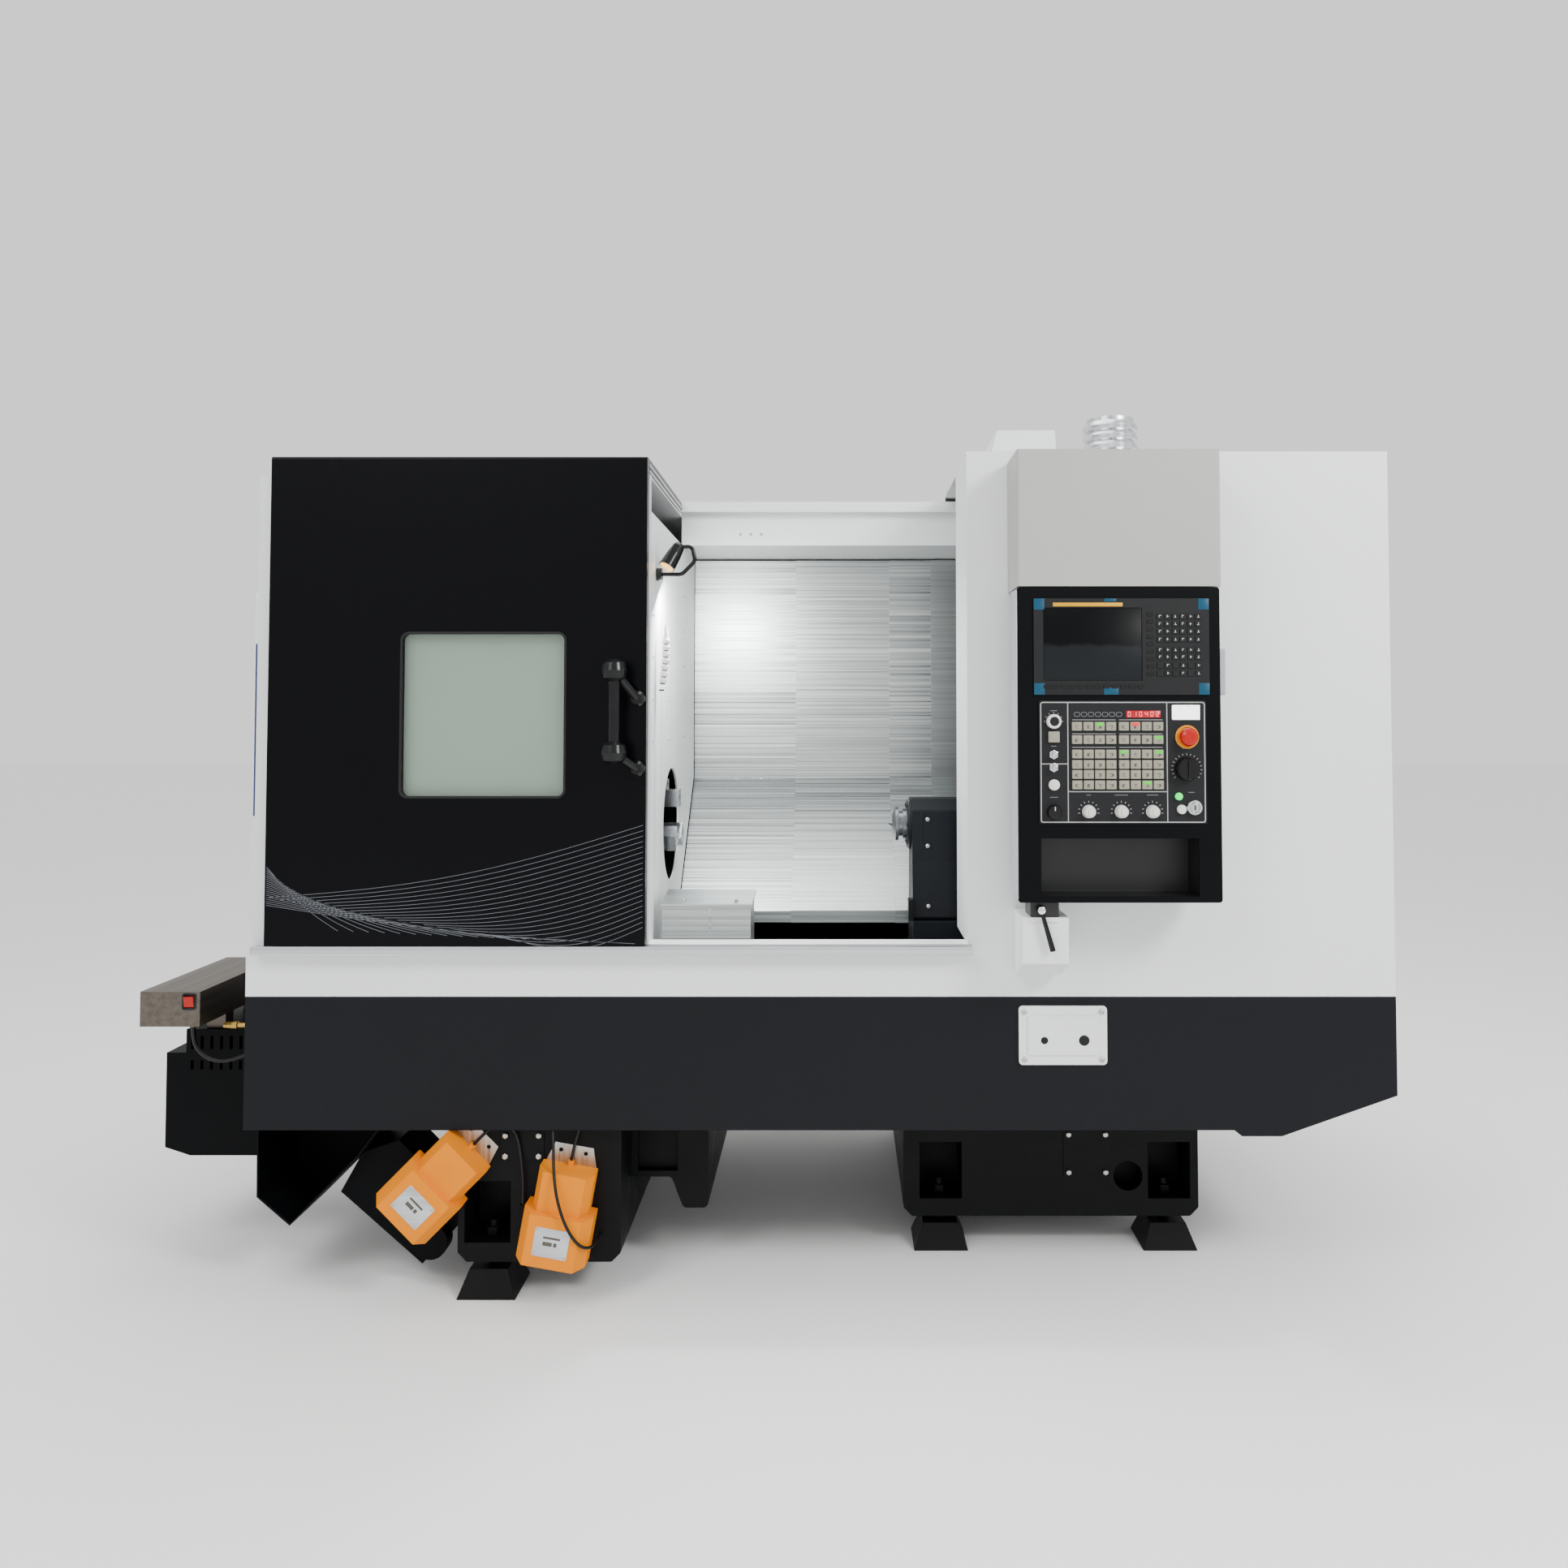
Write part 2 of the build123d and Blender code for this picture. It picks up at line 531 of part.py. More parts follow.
def tailstock_body():
    """Cast tailstock: waisted column round the quill, standing on a base that wraps the flat way."""
    way = TAIL_WAY_TOP + RUNNING_GAP
    skirt = way - 40
    front = TAIL_WAY[0] - RUNNING_GAP
    back = TAIL_WAY[1] + RUNNING_GAP
    column = [
        (-452, 850), (-430, 1000), (-428, 1135), (-400, 1164), (-310, 1164), (-282, 1135), (-280, 1000),
        (-258, 850),
    ]
    base = [
        (-372, skirt), (-372, way + 20), (-470, way + 40), (-470, 850), (-240, 850), (-240, way + 30),
        (-215, way + 20), (-215, skirt), (back, skirt), (back, way), (front, way), (front, skirt),
    ]
    body = rounded(prism(column, "X", *TAIL_X), "X", 9.0) + prism(base, "X", TAIL_X[0], TAIL_BASE_RIGHT)
    brace = [(TAIL_X[1], 850), (TAIL_X[1], 960), (TAIL_BASE_RIGHT - 40, 850)]
    body = body + prism(brace, "Y", -400, -310)
    body = body + slab((TAIL_X[0] - 12, TAIL_X[0] + 1), (-462, -420), (850, 905))
    body = body + turned([(389, 0.0), (389, 63), (395, 69), (401, 69), (401, 0.0)], "X", SPINDLE)
    return body - rod("X", SPINDLE, QUILL_RADIUS - 6 + SHAFT_GAP, 380, TAIL_X[1] - 20)


def quill():
    """Tailstock quill with a flanged nose and its live centre's short cone."""
    outline = [
        (338, 0.0), (350, 9), (350, 24), (358, QUILL_RADIUS), (366, QUILL_RADIUS), (366, 34), (378, 34),
        (378, QUILL_RADIUS - 6), (TAIL_X[1] - 30, QUILL_RADIUS - 6), (TAIL_X[1] - 30, 0.0),
    ]
    return turned(outline, "X", SPINDLE)


# Carriage: saddle on the box ways, cross slide down the slant, indexing turret.
CROSS_RAILS = ((880.0, 940.0), (1200.0, 1260.0))
CROSS_RAIL_HEIGHT = 40.0
SPINDLE_ABOVE = 288.0
TURRET_X = (640.0, 760.0)
HOUSING_LEFT = 850.0
TURRET_AXIS = on_slant(TURRET_UP_SLANT, SPINDLE_ABOVE)


def saddle():
    """Saddle wrapped over both box ways, with the front plate of the telescopic cover on its left side."""
    gap = RUNNING_GAP
    bottom = BED_SURFACE + gap
    body = slant_prism(rectangle((-30, 690), (bottom, 0)), SADDLE_LEFT, SADDLE_RIGHT)
    for low, high in WAYS:
        slot = rectangle((low - gap, high + gap), (bottom - 1, WAY_TOP + gap))
        body = body - slant_prism(slot, SADDLE_LEFT - 1, SADDLE_RIGHT + 1)
    for rail in CROSS_RAILS:
        body = body + slant_prism(rectangle((60, 690), (0, CROSS_RAIL_HEIGHT)), *rail)
    return body + cover_sheet(0, 497, SADDLE_LEFT)


def cross_slide():
    """Cross slide on two rails, with the turret's gear housing on it."""
    gap = RUNNING_GAP
    plate = slant_prism(rectangle((300, 650), (gap, 160)), HOUSING_LEFT, 1290)
    for low, high in CROSS_RAILS:
        slot = rectangle((299, 651), (gap - 1, CROSS_RAIL_HEIGHT + gap))
        plate = plate - slant_prism(slot, low - gap, high + gap)
    housing = [(370, 160), (580, 160), (580, 390), (520, 440), (430, 440), (370, 390)]
    motor = rod("X", TURRET_AXIS, 90, 1150, 1280)
    body = fused([plate, slant_prism(housing, HOUSING_LEFT, 1150), motor])
    return body - rod("X", TURRET_AXIS, 40 + SHAFT_GAP, HOUSING_LEFT - 1, HOUSING_LEFT + 100)


def turret_disc():
    """Twelve-sided turret on its shaft, with a clamped tool block at every station."""
    stations = 12
    y, z = TURRET_AXIS
    corners = []
    for corner in range(stations):
        angle = math.radians(360 / stations * (corner + 0.5))
        corners.append((y + 205 * math.cos(angle), z + 205 * math.sin(angle)))
    seat = HOUSING_LEFT - RUNNING_GAP
    neck = [
        (TURRET_X[1], 0.0), (TURRET_X[1], 95), (seat - 10, 80), (seat, 80), (seat, 40), (HOUSING_LEFT + 80, 40),
        (HOUSING_LEFT + 80, 0.0),
    ]
    pieces = [prism(corners, "X", *TURRET_X), turned(neck, "X", TURRET_AXIS)]
    cap = [(TURRET_X[0] - 18, 0.0), (TURRET_X[0] - 18, 70), (TURRET_X[0], 90), (TURRET_X[0], 0.0)]
    pieces.append(turned(cap, "X", TURRET_AXIS))
    block_left = TURRET_X[0] - 44
    block = slab((block_left, TURRET_X[0]), (y - 28, y + 28), (z + 118, z + 190))
    shank = slab((block_left + 12, block_left + 32), (y - 10, y + 10), (z + 190, z + 211))
    bar = rod("X", (y, z + 155), 16, block_left - 21, block_left)
    axis = Axis((0, y, z), (1, 0, 0))
    for station in range(stations):
        tool = shank if station % 2 == 0 else bar
        pieces.append((block + tool).rotate(axis, 360 / stations * station))
    return fused(pieces)


# Pendant: fixed head and foot on the guard, and the swivelling control between them.
HEAD_X = (611.0, 1074.0)
HEAD_Z = (1681.0, 1995.0)
PIVOT_RADIUS = 30.0
FOOT_TOP = 929.0
FOOT_FACE = -870.0
POCKET_OPEN = ((661.0, 1017.0), (979.0, 1110.0))
LCD = ((646.0, 1044.0), (1434.0, 1653.0))
PANEL = ((657.0, 1035.0), (1143.0, 1421.0))
SCREEN = ((668.0, 892.0), (1466.0, 1632.0))
E_STOP = (991.0, 1339.0)
OVERRIDE = (990.0, 1267.0)
SELECTORS = ((768.0, 1171.0), (841.5, 1171.0), (912.0, 1171.0))
PANEL_FACE = PENDANT_FACE - 3.0
STEM_RADIUS = 5.0
E_STOP_STEM = 11.0
PIN = 18.0
BLOCK_TOP = 964.0
BLOCK_FACE = FOOT_FACE - 4.0
KEY_COLUMNS = (742.2, 767.9, 793.5, 819.2, 848.0, 873.9, 899.8, 925.6)
KEY_ROWS = (1363.0, 1333.0, 1300.5, 1277.0, 1254.5, 1231.0)
KEYPAD_COLUMNS = (932.0, 949.4, 966.8, 984.2, 1001.6, 1019.0)
KEYPAD_ROWS = (1612.0, 1595.0, 1578.0, 1560.0, 1536.0, 1520.0, 1501.0, 1483.0)


def grown(ranges, by):
    """Two (low, high) ranges widened on every side."""
    return [(low - by, high + by) for low, high in ranges]


def pendant_head():
    """Sheet box fixed to the guard, with the pendant's upper pivot boss inside its floor."""
    x, z = HEAD_X, HEAD_Z
    outer = rounded(prism(rectangle(x, (PENDANT_FACE, FRONT)), "Z", *z), "Z", 5.0)
    inner = slab((x[0] + SHEET, x[1] - SHEET), (PENDANT_FACE + SHEET, FRONT + 1), (z[0] + SHEET, z[1] - SHEET))
    boss = rod("Z", PIVOT, PIVOT_RADIUS + 15, z[0], z[0] + 60)
    return (outer - inner + boss) - rod("Z", PIVOT, PIVOT_RADIUS + SHAFT_GAP, z[0] - 1, z[0] + 61)


def pendant_foot():
    """Lower bracket box with a chamfered underside, and the clamp block on it that holds the lower pivot."""
    section = [(FOOT_FACE, FOOT_TOP), (FRONT, FOOT_TOP), (FRONT, 780), (FRONT - 40, 780), (FOOT_FACE, 824)]
    box = rounded(prism(section, "X", 622, 727), "X", 4.0)
    block = rounded(slab((640, 705), (BLOCK_FACE, PIVOT[1] + 36), (FOOT_TOP - 10, BLOCK_TOP)), "Z", 6.0)
    return box + block - rod("Z", PIVOT, PIN + SHAFT_GAP, FOOT_TOP - 45, BLOCK_TOP + 1)


def pendant_housing():
    """Black sheet housing with a storage pocket, pivots above and below and a card-slot cover on the right."""
    x = (PENDANT[0][0] + 2, PENDANT[0][1] - 2)
    z = (PENDANT[1][0] + 2, PENDANT[1][1] - 2)
    y = (PENDANT_FACE + 6, PENDANT_BACK)
    outer = slab(x, y, z)
    outer = fillet(outer.edges().filter_by(Axis.Z).group_by(Axis.Y)[-1], 26.0)
    inside = ((x[0] + SHEET, x[1] - SHEET), (y[0] - 1, y[1] - SHEET), (z[0] + SHEET, z[1] - SHEET))
    hole = grown(POCKET_OPEN, SHEET)
    pocket_back = y[0] + 81
    pocket = slab(hole[0], (y[0], pocket_back + SHEET), (z[0], hole[1][1]))
    pocket = pocket - slab(POCKET_OPEN[0], (y[0] - 1, pocket_back), POCKET_OPEN[1])
    upper = rod("Z", PIVOT, PIVOT_RADIUS, z[1] - SHEET, HEAD_Z[0] + 50)
    lower = rod("Z", PIVOT, PIN, FOOT_TOP - 40, z[0] + 1)
    cover = rounded(slab((x[1], x[1] + 20), (y[0] + 14, y[0] + 90), (1434, 1540)), "X", 6.0)
    return fused([outer - slab(*inside), pocket, upper, lower, cover])


def pendant_front():
    """Black front plate with cut-outs for the screen unit, the operator panel and the pocket."""
    plate = rounded(prism(rectangle(*PENDANT), "Y", PENDANT_FACE, PENDANT_FACE + 6), "Y", 7.0)
    for ranges in (grown(LCD, -8.0), grown(PANEL, -8.0), POCKET_OPEN):
        plate = plate - prism(rectangle(*ranges), "Y", PENDANT_FACE - 1, PENDANT_FACE + 7)
    return plate


def key(x, z, size, lift):
    """A key cap that stands out of the panel's face."""
    wide = size[0] / 2
    high = size[1] / 2
    return slab((x - wide, x + wide), (PANEL_FACE - lift, PANEL_FACE), (z - high, z + high))


def lcd_unit():
    """Screen and keypad unit: bezel, sunk screen, soft keys beside and below it, and the keypad."""
    bezel = rounded(prism(rectangle(*LCD), "Y", PANEL_FACE, PENDANT_FACE), "Y", 5.0)
    body = prism(rectangle(*grown(LCD, -10.0)), "Y", PENDANT_FACE, PENDANT_FACE + 50)
    unit = bezel + body - prism(rectangle(*SCREEN), "Y", PANEL_FACE - 1, PANEL_FACE + 2)
    soft_keys = [(910.0, 1617 - 17.0 * row) for row in range(9)]
    soft_keys += [(675 + 19.3 * column, 1453.0) for column in range(12)]
    for x, z in soft_keys:
        unit = unit + key(x, z, (13.0, 8.0), 1.2)
    for x in KEYPAD_COLUMNS:
        for z in KEYPAD_ROWS:
            unit = unit + key(x, z, (13.6, 12.4), 2.0)
    return unit


def button(centre, radius, height):
    """A fixed round button with a chamfered top."""
    face = PANEL_FACE
    top = face - height
    outline = [(top, 0.0), (top, radius - 3), (face - 3, radius), (face, radius), (face, 0.0)]
    return turned(outline, "Y", centre)


def operator_panel():
    """Machine panel: keys in two blocks of four columns, displays and fixed buttons on one plate."""
    face = PANEL_FACE
    plate = rounded(prism(rectangle(*PANEL), "Y", face, PENDANT_FACE), "Y", 4.0)
    unit = plate + prism(rectangle(*grown(PANEL, -10.0)), "Y", PENDANT_FACE, PENDANT_FACE + 40)
    for x in KEY_COLUMNS:
        for z in KEY_ROWS:
            unit = unit + key(x, z, (22.0, 19.0), 4.0)
    unit = unit - prism(rectangle((854, 933), (1382, 1399)), "Y", face - 1, face + 1.5)
    unit = unit + key(989, 1394.5, (62.0, 33.0), 2.0)
    left_x = 690.0
    for z, radius, height in ((1374, 16, 12), (1299, 7, 14), (1270, 7, 14), (1231, 12, 7), (1170, 16, 14)):
        unit = unit + button((left_x, z), radius, height)
    unit = unit + key(left_x, 1339, (24.0, 24.0), 7.0)
    for centre, radius in (((971, 1205), 8), ((977, 1176), 10), ((1006, 1180), 17)):
        unit = unit + button(centre, radius, 7)
    unit = unit - rod("Y", E_STOP, E_STOP_STEM + SHAFT_GAP, face - 1, face + 26)
    for centre in (OVERRIDE, *SELECTORS):
        unit = unit - rod("Y", centre, STEM_RADIUS + SHAFT_GAP, face - 1, face + 16)
    return unit


def e_stop():
    """Mushroom button on its stem, with room to be pushed in."""
    face = PANEL_FACE
    outline = [
        (face - 26, 0.0), (face - 26, 12), (face - 22, 18), (face - 15, 21), (face - 8, 18),
        (face - 8, E_STOP_STEM), (face + 16, E_STOP_STEM), (face + 16, 0.0),
    ]
    return turned(outline, "Y", E_STOP)


def knob(centre, radius, height):
    """Turned knob with a grip bar across its face and a stem in the panel."""
    face = PANEL_FACE - RUNNING_GAP
    top = face - height
    outline = [
        (top, 0.0), (top, radius - 5), (top + 4, radius - 2), (face - 4, radius - 1), (face, radius),
        (face, STEM_RADIUS), (face + 14, STEM_RADIUS), (face + 14, 0.0),
    ]
    x, z = centre
    grip = radius - 8
    return turned(outline, "Y", centre) + slab((x - 3.5, x + 3.5), (top - 3, top + 1), (z - grip, z + grip))


LEVER_HUB = (662.0, 948.0)


def clamp_lever():
    """Clamp lever: hub on the clamp block's front and a slim arm that hangs down."""
    face = BLOCK_FACE - RUNNING_GAP
    hub = turned([(face - 18, 0.0), (face - 18, 8), (face - 14, 10), (face, 10), (face, 0.0)], "Y", LEVER_HUB)
    start = Vector(LEVER_HUB[0], face - 10, LEVER_HUB[1])
    reach = Vector(26, 0, -92)
    arm = Solid.make_cone(4.5, 6.5, reach.length, Plane(origin=start, z_dir=reach))
    return hub + arm


# Roof fittings.
DUCT = (965.0, -285.0)


def extract_duct():
    """Spiral-wound exhaust duct stub on the roof, with rounded ridges."""
    ridges = 6
    pitch = 27.0
    inner = 60.0
    outline = [(GUARD_TOP, inner), (GUARD_TOP, 78), (GUARD_TOP + 10, 78)]
    for ridge in range(ridges):
        base = GUARD_TOP + 12 + ridge * pitch
        outline += [(base, 65), (base + 6, 73), (base + 15, 75), (base + 23, 71)]
    outline += [(GUARD_TOP + 14 + ridges * pitch, 65), (2211, 65), (2211, inner)]
    return turned(outline, "Z", DUCT)


def signal_lamp():
    """Red dome on a collar on the roof."""
    rise = [(0, 0.0), (0, 24), (10, 24), (12, 19), (30, 18), (42, 12), (48, 0.0)]
    return turned([(GUARD_TOP + up, radius) for up, radius in rise], "Z", (548, -35))


# Left end: skimmer, ventilated pump cover, chip chute and cocks.
SKIMMER = ((-1516.0, -1367.0), (-635.0, -215.0), (622.0, 707.0))
SWITCH = (-1394.0, -628.0, 683.0)
SWITCH_PIN = 2.5
PUMP_Y = (-485.0, -60.0)
SKIMMER_CABLE = [
    (-1409, -585, 610), (-1409, -585, 582), (-1398, -585, 552), (-1366, -586, 528), (-1324, -587, 524),
    (-1282, -587, 538), (-1245, -585, 554), (SKIRT_LEFT, -585, 554),
]
SKIMMER_CABLE_RADIUS = 5.0
PEDAL_CABLE_RADIUS = 3.5


def pump_cover():
    """Black sheet cover over the coolant pumps, with two rows of vent slots in its front."""
    outline = [
        (LEFT_EDGE, 276), (LEFT_EDGE + 65, 255), (SKIRT_LEFT, 255), (SKIRT_LEFT, 577), (LEFT_EDGE + 50, 577),
        (LEFT_EDGE + 50, 517), (LEFT_EDGE, 517),
    ]
    inner = [
        (LEFT_EDGE + SHEET, 278.5), (LEFT_EDGE + 65.5, 258), (SKIRT_LEFT - SHEET, 258),
        (SKIRT_LEFT - SHEET, 574), (LEFT_EDGE + 53, 574), (LEFT_EDGE + 53, 514), (LEFT_EDGE + SHEET, 514),
    ]
    cover = prism(outline, "Y", *PUMP_Y) - prism(inner, "Y", PUMP_Y[0] + SHEET, PUMP_Y[1] - SHEET)
    for slot in range(9):
        x = -1468 + slot * 25.0
        for low, high in ((526, 560), (474, 497)):
            cover = cover - slab((x, x + 8), (PUMP_Y[0] - 1, PUMP_Y[0] + SHEET + 1), (low, high))
    return cover


def oil_skimmer():
    """Stainless skimmer box on two posts, with a sunk seat and pin holes for its switch."""
    x, y, z = SKIMMER
    switch_x, pin_y, switch_z = SWITCH
    box = rounded(slab(x, y, z), "Z", 3.0)
    box = box - slab((switch_x - 13, switch_x + 13), (y[0] - 1, y[0] + 14), (switch_z - 16, switch_z + 16))
    box = box - rod("X", (pin_y, switch_z), SWITCH_PIN + SHAFT_GAP, switch_x - 16, switch_x + 16)
    posts = [slab((x[0] + 80, x[1] - 20), (post, post + 40), (577, z[0] + 1)) for post in (-470, -280)]
    gland = rod("Z", SKIMMER_CABLE[0][:2], 9, SKIMMER_CABLE[0][2], z[0])
    return fused([box, *posts, gland])


def rocker_switch():
    """Red rocker on a cross pin, pressed in at its lower half."""
    front = SKIMMER[1][0]
    x, pin_y, z = SWITCH
    outline = [(front - 1.5, z - 13), (front - 6, z + 13), (front + 10, z + 12), (front + 10, z - 12)]
    return prism(outline, "X", x - 12, x + 12) + rod("X", (pin_y, z), SWITCH_PIN, x - 15, x + 15)


def chip_chute():
    """Open black chute under the skirt, the slanted channel that follows it and the channel's end drum."""
    y = (FRONT + 60, FRONT + 280)
    outer = [(-1203, SKIRT_BOTTOM), (-1201, 225), (-1120, 157), (-959, 318), (-892, SKIRT_BOTTOM)]
    inner = [(-1199, SKIRT_BOTTOM + 1), (-1197, 227), (-1119, 163), (-962, 321), (-897, SKIRT_BOTTOM + 1)]
    chute = prism(outer, "Y", *y) - prism(inner, "Y", y[0] - 1, y[1] - SHEET)
    channel = [(-969, 311), (-1022, 215), (-819, 40), (-716, 150), (-790, 250), (-880, 340)]
    hollow = [(-962, 303), (-1014, 216), (-820, 47), (-722, 150), (-793, 246), (-878, 332)]
    duct = prism(channel, "Y", y[0] + 60, y[1] - 10) - prism(hollow, "Y", y[0] + 60 + SHEET, y[1])
    drum = rod("Y", (-790, 105), 42, y[0] + 28, y[0] + 70)
    return fused([chute, duct, drum])


def brass_cocks():
    """Two drain cocks under the sloping tank and the oil pipe's fitting beside the skimmer."""
    solids = []
    rise = (SLOPE_RIGHT_Z - SLOPE_LEFT[1]) / (RIGHT_EDGE - SLOPE_LEFT[0])
    for x in (1392.0, 1488.0):
        under = SLOPE_LEFT[1] + (x - SLOPE_LEFT[0]) * rise
        cock = [(-34, 0.0), (-34, 6), (-22, 6), (-22, 10), (-8, 10), (-6, 7), (2, 7), (2, 0.0)]
        body = turned(cock, "Z", (0, 0)) + slab((-4, 22), (-3, 3), (-18, -12))
        cut = slab((-20, 30), (-20, 20), (-2.5, 10))
        tilt = -math.degrees(math.atan(rise))
        solids.append((body - cut).rotate(Axis.Y, tilt).moved(Location((x, FRONT + 150, under + 2.5))))
    pipe = [(-1352, 0.0), (-1352, 7), (-1330, 9), (-1318, 9), (-1316, 6), (SKIRT_LEFT, 6), (SKIRT_LEFT, 0.0)]
    solids.append(turned(pipe, "X", (-545, 603)))
    return solids


def cable(points, radius):
    """A cable: straight runs joined by arcs, each as large as its two runs allow."""
    route = [Vector(*point) for point in points]
    radii = []
    for before, corner, after in zip(route, route[1:], route[2:]):
        turn = math.radians((corner - before).get_angle(after - corner))
        shorter = min((corner - before).length, (after - corner).length)
        radii.append(0.45 * shorter / math.tan(turn / 2))
    line = FilletPolyline(*route, radius=radii)
    return sweep(Plane(origin=line @ 0, z_dir=line % 0) * Circle(radius), path=line)


# Foot switches hung on the left pedestal: cast guard, zinc plate and sprung treadle.
PEDALS = {"left": ((-738.0, 293.0), -45.0), "right": ((-450.0, 227.0), -10.0)}
PLATE_THICKNESS = 3.0
GUARD_HEIGHT = 95.0
TREADLE_PIN = (58.0, 34.0)
PIN_RADIUS = 4.0


def hung(side, shape):
    """A foot switch piece moved from the switch's own frame to its place on the pedestal."""
    (x, z), tilt = PEDALS[side]
    angle = math.radians(tilt)
    seat = Plane(origin=(x, PEDESTAL_FACE, z), x_dir=(math.cos(angle), 0, math.sin(angle)), z_dir=(0, -1, 0))
    return shape.moved(seat.location)


def pedal_guard():
    """Cast hood: wide at the toe, stepped in behind, with chamfered shoulders and an open mouth."""
    base = PLATE_THICKNESS

    def section(half, shoulder, top_half, top, bottom):
        return [
            (-half, bottom), (half, bottom), (half, shoulder), (top_half, top), (-top_half, top),
            (-half, shoulder),
        ]

    hood = prism(section(82, base + 52, 60, GUARD_HEIGHT, base), "Y", -118, 0)
    rear = prism(section(66, base + 40, 50, 78, base), "Y", 0, 92)
    body = fillet((hood + rear).edges().filter_by(Axis.Y), 4.0)
    body = body - prism(section(73, base + 48, 54, GUARD_HEIGHT - 9, base - 1), "Y", -119, -9)
    body = body - prism(section(57, base + 36, 44, 69, base - 1), "Y", -10, 82)
    body = body + rod("Y", (0, 14), 8, 92, 104)
    return body - rod("X", TREADLE_PIN, PIN_RADIUS + SHAFT_GAP, -63, 63)


def pedal_plate():
    """Zinc base plate with a holed tail that is screwed to the pedestal."""
    outline = [(-70, -110), (70, -110), (60, 92), (46, 136), (-46, 136), (-60, 92)]
    plate = prism(outline, "Z", 0, PLATE_THICKNESS)
    for x in (-30, 30):
        plate = plate - rod("Z", (x, 120), 5, -1, PLATE_THICKNESS + 1)
    return plate


def treadle():
    """Ribbed treadle on a cross pin, resting a little raised."""
    y, z = TREADLE_PIN
    board = prism([(y + 6, z - 5), (y + 6, z + 5), (-96, z + 9), (-104, z + 5), (-104, z - 1)], "X", -52, 52)
    for rib in range(7):
        ridge = -94 + rib * 16.0
        board = board + slab((-46, 46), (ridge, ridge + 6), (z + 3, z + 10.5))
    return board + rod("X", TREADLE_PIN, PIN_RADIUS, -62, 62)


# Rear electrical cabinet.
CABINET = ((-600.0, 900.0), (BACK + SHEET, 890.0), (450.0, 1900.0))
HINGE = (-608.0, 903.0)
HINGE_Z = (620.0, 1720.0)


def electrical_cabinet():
    """Steel cabinet with a mounting plate of drive units, a gland row and hinge knuckles for its door."""
    x, y, z = CABINET
    inside = y[0] + SHEET
    shell = slab(x, y, z) - slab((x[0] + SHEET, x[1] - SHEET), (inside, y[1] + 1), (z[0] + SHEET, z[1] - SHEET))
    pitch = 150.0
    units = []
    for unit in range(6):
        left = -480 + pitch * unit
        units.append(slab((left, left + 120), (inside - 1, y[0] + 180), (1150, 1550)))
    rails = [slab((x[0] + 60, x[1] - 60), (inside - 1, y[0] + 70), (level, level + 60)) for level in (700, 900)]
    knuckles = []
    for level in HINGE_Z:
        for low in (level - 26, level + 26 + RUNNING_GAP):
            knuckles.append(rod("Z", HINGE, 8, low, low + 25))
            knuckles.append(slab((HINGE[0], x[0] + 1), (HINGE[1] - 20, HINGE[1] - 5), (low, low + 25)))
        knuckles.append(rod("Z", HINGE, 4, level - 26, level + 51))
    return fused([shell, *units, *rails, *knuckles])


def cabinet_door():
    """Folded tray door with hinge barrels, a row of cooling louvres and a turn handle."""
    x, y, z = CABINET
    face = REAR_EDGE - 12
    rim = 22.0
    leaf = slab((x[0] + 2, x[1] - 2), (y[1] + 1, face), (z[0] + 2, z[1] - 2))
    leaf = fillet(leaf.edges().filter_by(Axis.Z).group_by(Axis.Y)[-1], 5.0)
    leaf = leaf - slab((x[0] + rim, x[1] - rim), (y[1], face - SHEET), (z[0] + rim, z[1] - rim))
    for louvre in range(8):
        level = 560 + louvre * 26.0
        leaf = leaf - prism([(face + 1, level), (face + 1, level + 12), (face - 8, level + 12)], "X", -100, 400)
    pieces = [leaf, rounded(slab((820, 850), (REAR_EDGE - 13, REAR_EDGE), (1100, 1240)), "Y", 8.0)]
    for level in HINGE_Z:
        barrel = rod("Z", HINGE, 8, level, level + 26) - rod("Z", HINGE, 4 + SHAFT_GAP, level - 1, level + 27)
        leaf_strip = slab((HINGE[0] + 5.5, x[0] + 3), (HINGE[1] + 2, HINGE[1] + 7), (level, level + 26))
        pieces += [barrel, leaf_strip]
    return fused(pieces)


